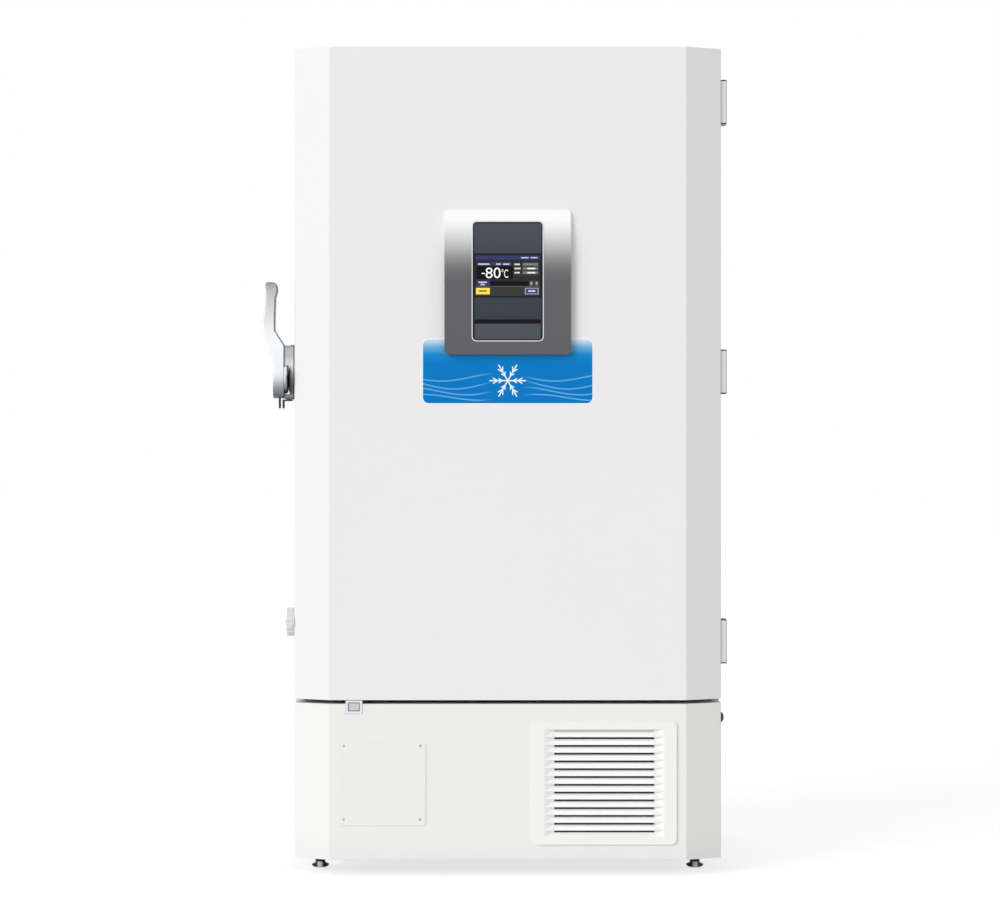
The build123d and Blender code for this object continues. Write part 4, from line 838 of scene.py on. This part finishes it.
# %% Lever handle
DOOR_SIDE = -0.515
SHAFT_HEIGHT, BOSS_HEIGHT, SKIRT_CUT = 1.205, 1.1935, 1.204
VOXEL, SMOOTH_PASSES, CASTING_ROUND = 0.0013, 9, 0.0006
EAR_RISE, EAR_SPAN = 0.004, (0.0341, 0.0397)
HUB_PROFILE = [(8.6, 25.5), (8.6, 16.2), (29, 16.2), (32, 17.4), (33, 20), (33, 25.5), (8.6, 25.5)]
SKIRT_PROFILE = [(8.6, 25.5), (8.6, 16.4), (39, 16.4), (42.4, 18), (43.5, 21), (43.5, 25.5), (8.6, 25.5)]
BOSS_PROFILE = [(0, 9.8), (40, 9.8), (39, 11), (33, 13.2), (22, 15), (12, 15.8), (0, 15.8)]
HANDLE_Y = face_middle("handle_base", 0, 0).y
LEVER_BACK = HANDLE_Y + 0.0283
LEVER_INNER = DOOR_SIDE - 0.0251
LEVER_FOOT = SHAFT_HEIGHT - 0.0556
grip = merged_copy("handle_lever", "handle_grip")
cut_away(grip, (0, LEVER_BACK, 0), (0, 1, 0))
cut_away(grip, (LEVER_INNER, 0, 0), (1, 0, 0))
cut_away(grip, (0, 0, LEVER_FOOT), (0, 0, -1))
use_modifier(grip, "REMESH", mode="VOXEL", voxel_size=VOXEL)
use_modifier(grip, "SMOOTH", factor=0.5, iterations=SMOOTH_PASSES)
activate(grip)
bpy.ops.object.shade_smooth()
hand_in(grip, "latch_handle", HANDLE_SILVER, "handle_silver", "handle_lever")
hook = merged_copy("handle_lever", "latch_hook")
cut_away(hook, (LEVER_INNER + 0.0002, 0, 0), (-1, 0, 0))
round_edges(hook, CASTING_ROUND)
hand_in(hook, "latch_handle", ZINC, "zinc_steel")
ear = merged_copy("handle_lever", "padlock_ear")
cut_away(ear, (0, 0, LEVER_FOOT + EAR_RISE), (0, 0, 1))
cut_away(ear, (DOOR_SIDE - EAR_SPAN[0], 0, 0), (1, 0, 0))
cut_away(ear, (DOOR_SIDE - EAR_SPAN[1], 0, 0), (-1, 0, 0))
round_edges(ear, CASTING_ROUND)
hand_in(ear, "latch_handle", BASE_SILVER, "handle_silver")
shaft = (DOOR_SIDE, HANDLE_Y, SHAFT_HEIGHT)
hub = turned("handle_hub", shaft, (-1, 0, 0), HUB_PROFILE)
hand_in(hub, "latch_handle", HANDLE_SILVER, "handle_silver")
skirt = turned("handle_skirt", shaft, (-1, 0, 0), SKIRT_PROFILE, 64)
cut_away(skirt, (0, 0, SKIRT_CUT), (0, 0, 1))
hand_in(skirt, "latch_handle", HANDLE_SILVER, "handle_silver")
boss = turned("handle_boss", (DOOR_SIDE, HANDLE_Y, BOSS_HEIGHT), (-1, 0, 0), BOSS_PROFILE)
hand_in(boss, "outer_door", BLACK_PLASTIC, "black_plastic")
print("grip", len(grip.data.polygons), "hook", len(hook.data.polygons), "ear", len(ear.data.polygons))

# %% [markdown]
# ## Reading on the screen
# The display shows a temperature. Text becomes a mesh, is fitted into its rectangle on the glass, and
# stands a tenth of a millimetre proud of it, so that it stays sharp from close by.

# %% Reading
LIT = srgb(236, 237, 240)
FONT_SIZE, HALF_RAISE, CURVE_STEPS = 0.03, 0.00005, 6
SCREEN_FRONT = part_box("touch_screen")[0][1]
READING = {
    "reading_minus": ("-", (-62.7, -54.5), (1446.2, 1448.8)),
    "reading_digits": ("80", (-53, -17), (1436.2, 1461.7)),
    "reading_degree": ("\u00b0C", (-14.5, 1), (1437, 1458)),
}


def lit_finish():
    finish = Finish("lit_digits", LIT, 0.35, Emission_Strength=0.2, Specular_IOR_Level=0.2)
    glow = finish.noise(300.0)
    finish.tint(srgb(230, 231, 235), srgb(242, 243, 246), glow)
    finish.set(Emission_Color=LIT)
    return finish.material


def reading(name, text, x, z):
    """Text as a thin mesh, fitted into a rectangle on the screen, in millimetres."""
    bpy.ops.object.select_all(action="DESELECT")
    bpy.ops.object.text_add(rotation=(math.radians(90), 0, 0))
    thing = bpy.context.object
    thing.name = name
    thing.data.body = text
    thing.data.size = FONT_SIZE
    thing.data.extrude = HALF_RAISE
    thing.data.resolution_u = CURVE_STEPS
    bpy.ops.object.convert(target="MESH")
    bpy.ops.object.transform_apply(rotation=True)
    spots = [vertex.co for vertex in thing.data.vertices]
    low = [min(spot[axis] for spot in spots) for axis in range(3)]
    high = [max(spot[axis] for spot in spots) for axis in range(3)]
    factor_x = (x[1] - x[0]) * MM / (high[0] - low[0])
    factor_z = (z[1] - z[0]) * MM / (high[2] - low[2])
    thing.scale = (factor_x, 1, factor_z)
    thing.location = (x[0] * MM - low[0] * factor_x, SCREEN_FRONT - high[1], z[0] * MM - low[2] * factor_z)
    bpy.ops.object.transform_apply(location=True, scale=True)
    return thing


LIT_DIGITS = lit_finish()
for name, (text, x, z) in READING.items():
    sign = reading(name, text, x, z)
    hand_in(sign, "outer_door", LIT_DIGITS, "screen_glass")
    print(name, len(sign.data.polygons), "faces")

# %% [markdown]
# ## Bumper and feet
# The bumper is a rubber dome. A levelling foot is a flared pad under a hexagon for the wrench, on a
# threaded stud: a real thread is a helix, but rings at the same pitch look alike and are turned in one
# go. The left foot is copied for the right side.

# %% Bumper and feet
DOME = [(0, 0), (13.4, 0), (13.4, 1.2), (12.7, 3.2), (11, 5.3), (8.4, 7.2), (5, 8.5), (2, 8.95), (0, 9)]
PAD = [(0, 0), (9, 0), (14.5, 1), (19, 3.2), (21.3, 5.8), (21.8, 7.4), (20.4, 9), (17, 10.2), (14, 11.6),
       (12.4, 13.8), (11.9, 17.6), (11.2, 19.6), (10, 20.4), (0, 20.4)]
THREAD = [(5.95 if step % 2 else 5.2, 21 + step * 0.875) for step in range(100)]
NUT_RADIUS, NUT_DEPTH, NUT_HEIGHT = 0.0094, 0.0066, 0.0236
bumper = turned("bumper_dome", face_middle("side_bumper", 0, 0), (1, 0, 0), DOME)
hand_in(bumper, "cabinet", BLACK_PLASTIC, NODE_SLOT["side_bumper"], "side_bumper")


def foot_finish(spot):
    finish = Finish("foot_pad", srgb(25, 25, 26), 0.45, Specular_IOR_Level=0.15)
    # Four near-white streaks on the low black pad are painted highlights: a painted reflection of polished
    # steel.
    aside = abs(abs(finish.x) - abs(spot.x)).least(abs(finish.y - spot.y))
    painted_glint = 1 - (aside + finish.noise(240.0) * 0.003).ramp(0.0045, 0.0105)
    low = 1 - (finish.z - spot.z).ramp(0.012, 0.0165)
    finish.tint(srgb(25, 25, 26), srgb(246, 248, 250), painted_glint * low)
    return finish.material


def levelling_foot(spot, height):
    """Pad, threaded stud and wrench hexagon of the left foot."""
    pad = turned("foot_pad_left", spot, (0, 0, 1), PAD)
    neck = [(0, 19), (5.6, 19), (5.6, 20.6)]
    end = [(5.2, height - 1.2), (4.2, height), (0, height)]
    stud = turned("foot_stud_left", spot, (0, 0, 1), neck + THREAD + end, 32, 25)
    bpy.ops.object.select_all(action="DESELECT")
    bpy.ops.mesh.primitive_cylinder_add(vertices=6, radius=NUT_RADIUS, depth=NUT_DEPTH,
                                        location=(spot.x, spot.y, spot.z + NUT_HEIGHT))
    nut = bpy.context.object
    nut.name = "foot_nut_left"
    bpy.ops.object.transform_apply(location=True)
    round_edges(nut, 0.0007)
    return pad, stud, nut


left_spot = face_middle("levelling_foot_left", 2, 0)
across = face_middle("levelling_foot_right", 2, 0) - left_spot
stud_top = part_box("levelling_foot_left")[1][2] - left_spot.z
left_foot = levelling_foot(left_spot, stud_top / MM)
right_foot = [shifted_copy(thing, thing.name.replace("left", "right"), across) for thing in left_foot]
PAD_BLACK = foot_finish(left_spot)
for side, (pad, stud, nut) in (("left", left_foot), ("right", right_foot)):
    node = "levelling_foot_" + side
    hand_in(pad, BODY_OF[node], PAD_BLACK, NODE_SLOT[node], node)
    hand_in(stud, BODY_OF[node], SCREW_STEEL, "zinc_steel")
    hand_in(nut, BODY_OF[node], SCREW_STEEL, "zinc_steel")
print("feet", round(across.x, 3), "m apart")

# %% [markdown]
# ## Casters and rear port
# A caster wheel is a rubber tyre on a plastic hub, on a bolt through its fork. One wheel is turned and
# copied to the other three places. The rear port is closed by a round cap with a groove.

# %% Casters and cap
TYRE = [(26.5, -12.6), (33.6, -12.6), (36.4, -11), (37.5, -7.5)]
HUB = [(5, -12.8), (8.5, -12.8), (9.5, -8), (22.5, -7.4), (24.4, -12.6), (26.3, -12.6)]
BOLT = [(0, -19.3), (5.4, -19.3), (6.2, -18.6), (6.2, -16.4), (4.6, -16.4)]
CAP = [(0, 8.2), (13, 8.2), (14, 9), (17, 9), (18, 7.6), (20, 7.6), (21, 8.6), (23, 7.6), (24, 5.6),
       (24, 0), (0, 0)]
HUB_GREY = moulding("hub_grey", srgb(150, 152, 154), 0.45)


def mirrored(half):
    """A profile with its second half, which is the first one turned round."""
    return half + [(radius, -along) for radius, along in reversed(half)]


def wheel_middle(place):
    low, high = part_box("caster_wheel_" + place)
    return (Vector(low) + Vector(high)) / 2


start = wheel_middle("front_left")
wheels = {"front_left": [
    turned("tyre_front_left", start, (1, 0, 0), mirrored(TYRE) + TYRE[:1], 64),
    turned("hub_front_left", start, (1, 0, 0), mirrored(HUB) + HUB[:1]),
    turned("axle_front_left", start, (1, 0, 0), mirrored(BOLT), 24)]}
for place in ("front_right", "rear_left", "rear_right"):
    shift = wheel_middle(place) - start
    wheels[place] = [shifted_copy(thing, thing.name.replace("front_left", place), shift)
                     for thing in wheels["front_left"]]
for place, (tyre, hub, axle) in wheels.items():
    node = "caster_wheel_" + place
    hand_in(tyre, BODY_OF[node], TYRE_RUBBER, NODE_SLOT[node], node)
    hand_in(hub, BODY_OF[node], HUB_GREY, NODE_SLOT[node])
    hand_in(axle, BODY_OF.get("caster_fork_" + place, "cabinet"), SCREW_STEEL, "zinc_steel")
cap = turned("port_cap", face_middle("access_port_cap", 1, 0), (0, 1, 0), CAP)
hand_in(cap, "cabinet", BLACK_PLASTIC, NODE_SLOT["access_port_cap"], "access_port_cap")
print("casters:", ", ".join(wheels))

# %% [markdown]
# ## Screws
# Sheet panels are held by pan-head screws. One head is turned, then copied to every place and joined,
# so that a row of screws is one piece with its own mesh.

# %% Screws
PAN_HEAD = [(0, 0.12), (0.36, 0.12), (0.42, 0.46), (0.6, 0.45), (0.84, 0.32), (0.97, 0.12), (1, -0.04),
            (0, -0.04)]
PLATE_X, PLATE_Z = (-0.3939, -0.2104), (0.3148, 0.1378)
COVER_STEP, COVER_MARGIN = 0.248, 0.012
BACK_X, BACK_START, BACK_STEP, BACK_ROWS = 0.503, 0.04, 0.24, 7
LEAF_THICKNESS, LEAF_Y, LEAF_Z = 0.004, (-0.302, -0.272), (0.018, 0.089)


def repeated(first, shifts):
    copies = [shifted_copy(first, first.name, shift) for shift in shifts]
    activate(first)
    for copy in copies:
        copy.select_set(True)
    bpy.ops.object.join()


def screws(name, spots, axis, radius):
    """Pan heads with a round socket at every spot, in millimetres for the radius."""
    profile = [(across * radius, along * radius) for across, along in PAN_HEAD]
    heads = turned(name, spots[0], axis, profile, 20)
    repeated(heads, [Vector(spot) - Vector(spots[0]) for spot in spots[1:]])
    hand_in(heads, "cabinet", SCREW_STEEL, "zinc_steel")
    print(name, len(spots))


plate_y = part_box("recorder_blank_plate")[0][1]
screws("plate_screws", [(x, plate_y, z) for x in PLATE_X for z in PLATE_Z], (0, -1, 0), 3.4)
cover_low, cover_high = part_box("rear_cover")
rows = (cover_low[2] + COVER_MARGIN, cover_high[2] - COVER_MARGIN)
spots = [(step * COVER_STEP, cover_high[1], z) for step in range(-2, 3) for z in rows]
screws("cover_screws", spots, (0, 1, 0), 4.2)
rows = [cover_high[2] + BACK_START + step * BACK_STEP for step in range(BACK_ROWS)]
spots = [(x, cover_high[1], z) for x in (-BACK_X, BACK_X) for z in rows]
screws("back_screws", spots, (0, 1, 0), 4.2)
leaf_x = -DOOR_SIDE + LEAF_THICKNESS
spots = [(leaf_x, y, low + up) for low, high in HINGE_SPANS for y in LEAF_Y for up in LEAF_Z]
screws("hinge_screws", spots, (1, 0, 0), 4.6)

# %% [markdown]
# ## Hoods of the rear cover
# Every slot of the rear cover is pressed out as a hood that opens downwards. One hood is a box whose upper
# outer edge is pushed in, without its lower face, given a wall and copied.

# %% Louvre hoods
HOOD_X, HOOD_HALF, HOOD_HEIGHT, HOOD_DEPTH, HOOD_WALL = 0.2575, 0.112, 0.011, 0.0075, 0.0012
SLOT_ROWS, SLOT_PITCH, FIRST_SLOT = 7, 0.028, 0.0595


def box_between(name, x, y, z):
    bpy.ops.object.select_all(action="DESELECT")
    bpy.ops.mesh.primitive_cube_add(size=1, location=[(a + b) / 2 for a, b in (x, y, z)])
    thing = bpy.context.object
    thing.name = name
    thing.scale = [b - a for a, b in (x, y, z)]
    bpy.ops.object.transform_apply(location=True, scale=True)
    return thing


def shape(thing, kind, test, operator, **settings):
    """Run one operator in edit mode on the vertices, edges or faces that pass the test."""
    activate(thing)
    bpy.ops.object.mode_set(mode="EDIT")
    bpy.ops.mesh.select_mode(type=kind)
    bpy.ops.mesh.select_all(action="DESELECT")
    bpy.ops.object.mode_set(mode="OBJECT")
    parts = {"VERT": thing.data.vertices, "EDGE": thing.data.edges, "FACE": thing.data.polygons}
    for part in parts[kind]:
        part.select = test(part)
    bpy.ops.object.mode_set(mode="EDIT")
    operator(**settings)
    bpy.ops.mesh.select_mode(type="VERT")
    bpy.ops.object.mode_set(mode="OBJECT")


first_z = cover_low[2] + FIRST_SLOT
wall_y = cover_high[1] - 0.0002
outer_y, top_z = wall_y + HOOD_DEPTH, first_z + HOOD_HEIGHT
span = (-HOOD_X - HOOD_HALF, -HOOD_X + HOOD_HALF)
hoods = box_between("cover_hoods", span, (wall_y, outer_y), (first_z, top_z))
shape(hoods, "VERT", lambda vertex: vertex.co.z > top_z - 0.001 and vertex.co.y > outer_y - 0.001,
      bpy.ops.transform.translate, value=(0, -HOOD_DEPTH * 0.86, 0))
shape(hoods, "FACE", lambda face: face.normal.z < -0.9 or face.normal.y < -0.9,
      bpy.ops.mesh.delete, type="FACE")
use_modifier(hoods, "SOLIDIFY", thickness=HOOD_WALL, offset=-1)
round_edges(hoods, 0.0005)
places = [(side, row) for side in (0, 1) for row in range(SLOT_ROWS)]
repeated(hoods, [(side * 2 * HOOD_X, 0, row * SLOT_PITCH) for side, row in places[1:]])
hand_in(hoods, "cabinet", CABINET_PAINT, NODE_SLOT["rear_cover"])
print("hoods", len(hoods.data.polygons), "faces")

# %% [markdown]
# ## Door panels
# The liner of the door and both inner doors are formed with flat raised fields, which stiffen a thin
# sheet. Each inner door has a round grip. The upper field and grip are copied for the lower door.

# %% Raised fields and grips
GRIP_EDGE = 0.034
GRIP = [(0, 8.4), (9, 8.4), (12, 7.4), (13.4, 5.2), (12.6, 2.4), (10, 1), (10, -0.1), (0, -0.1)]
HINGE_MARGIN, FIELD_MARGIN, FIELD_RISE = 0.06, 0.045, 0.0016
LINER_HALF, LINER_MARGIN, LINER_GAP, LINER_RISE = 0.4, 0.11, 0.022, 0.0018
SUNK = 0.001


def raised_field(name, x, y, z, corner):
    field = box_between(name, x, y, z)

    def goes_through(edge):
        first, last = (field.data.vertices[number].co for number in edge.vertices)
        return abs(first.y - last.y) > 0.0001

    shape(field, "EDGE", goes_through, bpy.ops.mesh.bevel, offset=corner, segments=6, affect="EDGES")
    round_edges(field, 0.0011)
    return field


low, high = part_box("inner_door_upper")
drop = Vector(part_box("inner_door_lower")[0]) - Vector(low)
field = raised_field("inner_field_upper", (low[0] + HINGE_MARGIN, high[0] - FIELD_MARGIN),
                     (low[1] - FIELD_RISE, low[1] + SUNK),
                     (low[2] + FIELD_MARGIN, high[2] - FIELD_MARGIN), 0.02)
spot = face_middle("inner_door_upper", 1, 0)
spot.x = low[0] + GRIP_EDGE
knob = turned("inner_grip_upper", spot, (0, -1, 0), GRIP)
lower = [shifted_copy(thing, thing.name.replace("upper", "lower"), drop) for thing in (field, knob)]
for node, (field, knob) in (("inner_door_upper", (field, knob)), ("inner_door_lower", lower)):
    hand_in(field, BODY_OF[node], INNER_PANEL, NODE_SLOT[node])
    hand_in(knob, BODY_OF[node], BLACK_PLASTIC, "black_plastic")
low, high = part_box("door_liner")
middle = (low[2] + high[2]) / 2
field = raised_field("liner_field_upper", (-LINER_HALF, LINER_HALF), (high[1] - SUNK, high[1] + LINER_RISE),
                     (middle + LINER_GAP, high[2] - LINER_MARGIN), 0.03)
drop = Vector((0, 0, low[2] + LINER_MARGIN - middle - LINER_GAP))
for field in (field, shifted_copy(field, "liner_field_lower", drop)):
    hand_in(field, "outer_door", LINER_WHITE, NODE_SLOT["door_liner"])
    print(field.name, len(field.data.polygons), "faces")

# %% [markdown]
# ## Light and floor
# One soft light stands 42 degrees to the left, so the left bevel is the brightest face and the right
# one the darkest, and an even pale sky does the rest. The floor and the sky look plain white to the
# camera, and in reflections, but light the object only as much as a pale room would.

# %% Light, sky and floor
def seen_directly(tree):
    """1 for rays that show the background as it is: camera, mirror and glass rays."""
    path = tree.nodes.new("ShaderNodeLightPath")
    total = path.outputs["Is Camera Ray"]
    for name in ("Is Glossy Ray", "Is Transmission Ray"):
        step = tree.nodes.new("ShaderNodeMath")
        step.operation = "MAXIMUM"
        tree.links.new(total, step.inputs[0])
        tree.links.new(path.outputs[name], step.inputs[1])
        total = step.outputs[0]
    return total


SKY_LEVEL, WHITE = 0.6, (1, 1, 1, 1)
SUN_ENERGY, SUN_SPREAD, SUN_TILT, SUN_TURN = 1.58, 35, 66, -42
FLOOR_SIZE, FLOOR_GLOW, FLOOR_LIT, FLOOR_SEEN = 60, 0.69, 0.9, 0.45


def shader(tree, kind, **inputs):
    node = tree.nodes.new("ShaderNode" + kind)
    for name, value in inputs.items():
        node.inputs[name].default_value = value
    return node.outputs[0]


def choose_shader(tree, lit, seen, output):
    """One shader lights the object, the other is what the camera sees."""
    choice = tree.nodes.new("ShaderNodeMixShader")
    for source, socket in zip((seen_directly(tree), lit, seen), choice.inputs):
        tree.links.new(source, socket)
    tree.links.new(choice.outputs[0], tree.nodes[output].inputs[0])


sky = bpy.data.worlds.new("sky")
sky.use_nodes = True
bpy.context.scene.world = sky
tree = sky.node_tree
tree.nodes.remove(tree.nodes["Background"])
ambient = shader(tree, "Background", Color=WHITE, Strength=SKY_LEVEL)
white = shader(tree, "Background", Color=WHITE)
choose_shader(tree, ambient, white, "World Output")

sun_data = bpy.data.lights.new("window_light", "SUN")
sun_data.energy = SUN_ENERGY
sun_data.angle = math.radians(SUN_SPREAD)
sun = bpy.data.objects.new("window_light", sun_data)
sun.rotation_euler = (math.radians(SUN_TILT), 0, math.radians(SUN_TURN))
bpy.context.scene.collection.objects.link(sun)

bpy.ops.object.select_all(action="DESELECT")
bpy.ops.mesh.primitive_plane_add(size=FLOOR_SIZE)
floor = bpy.context.object
floor.name = "floor"
paper = bpy.data.materials.new("floor_paper")
paper.use_nodes = True
tree = paper.node_tree
tree.nodes.remove(tree.nodes["Principled BSDF"])
matt = shader(tree, "BsdfDiffuse", Color=(FLOOR_LIT, FLOOR_LIT, FLOOR_LIT, 1))
dim = shader(tree, "BsdfDiffuse", Color=(FLOOR_SEEN, FLOOR_SEEN, FLOOR_SEEN, 1))
glow = shader(tree, "Emission", Strength=FLOOR_GLOW)
both = tree.nodes.new("ShaderNodeAddShader")
tree.links.new(dim, both.inputs[0])
tree.links.new(glow, both.inputs[1])
choose_shader(tree, matt, both.outputs[0], "Material Output")
floor.data.materials.append(paper)
bpy.context.scene.view_settings.view_transform = "Standard"
print("light and floor ready")
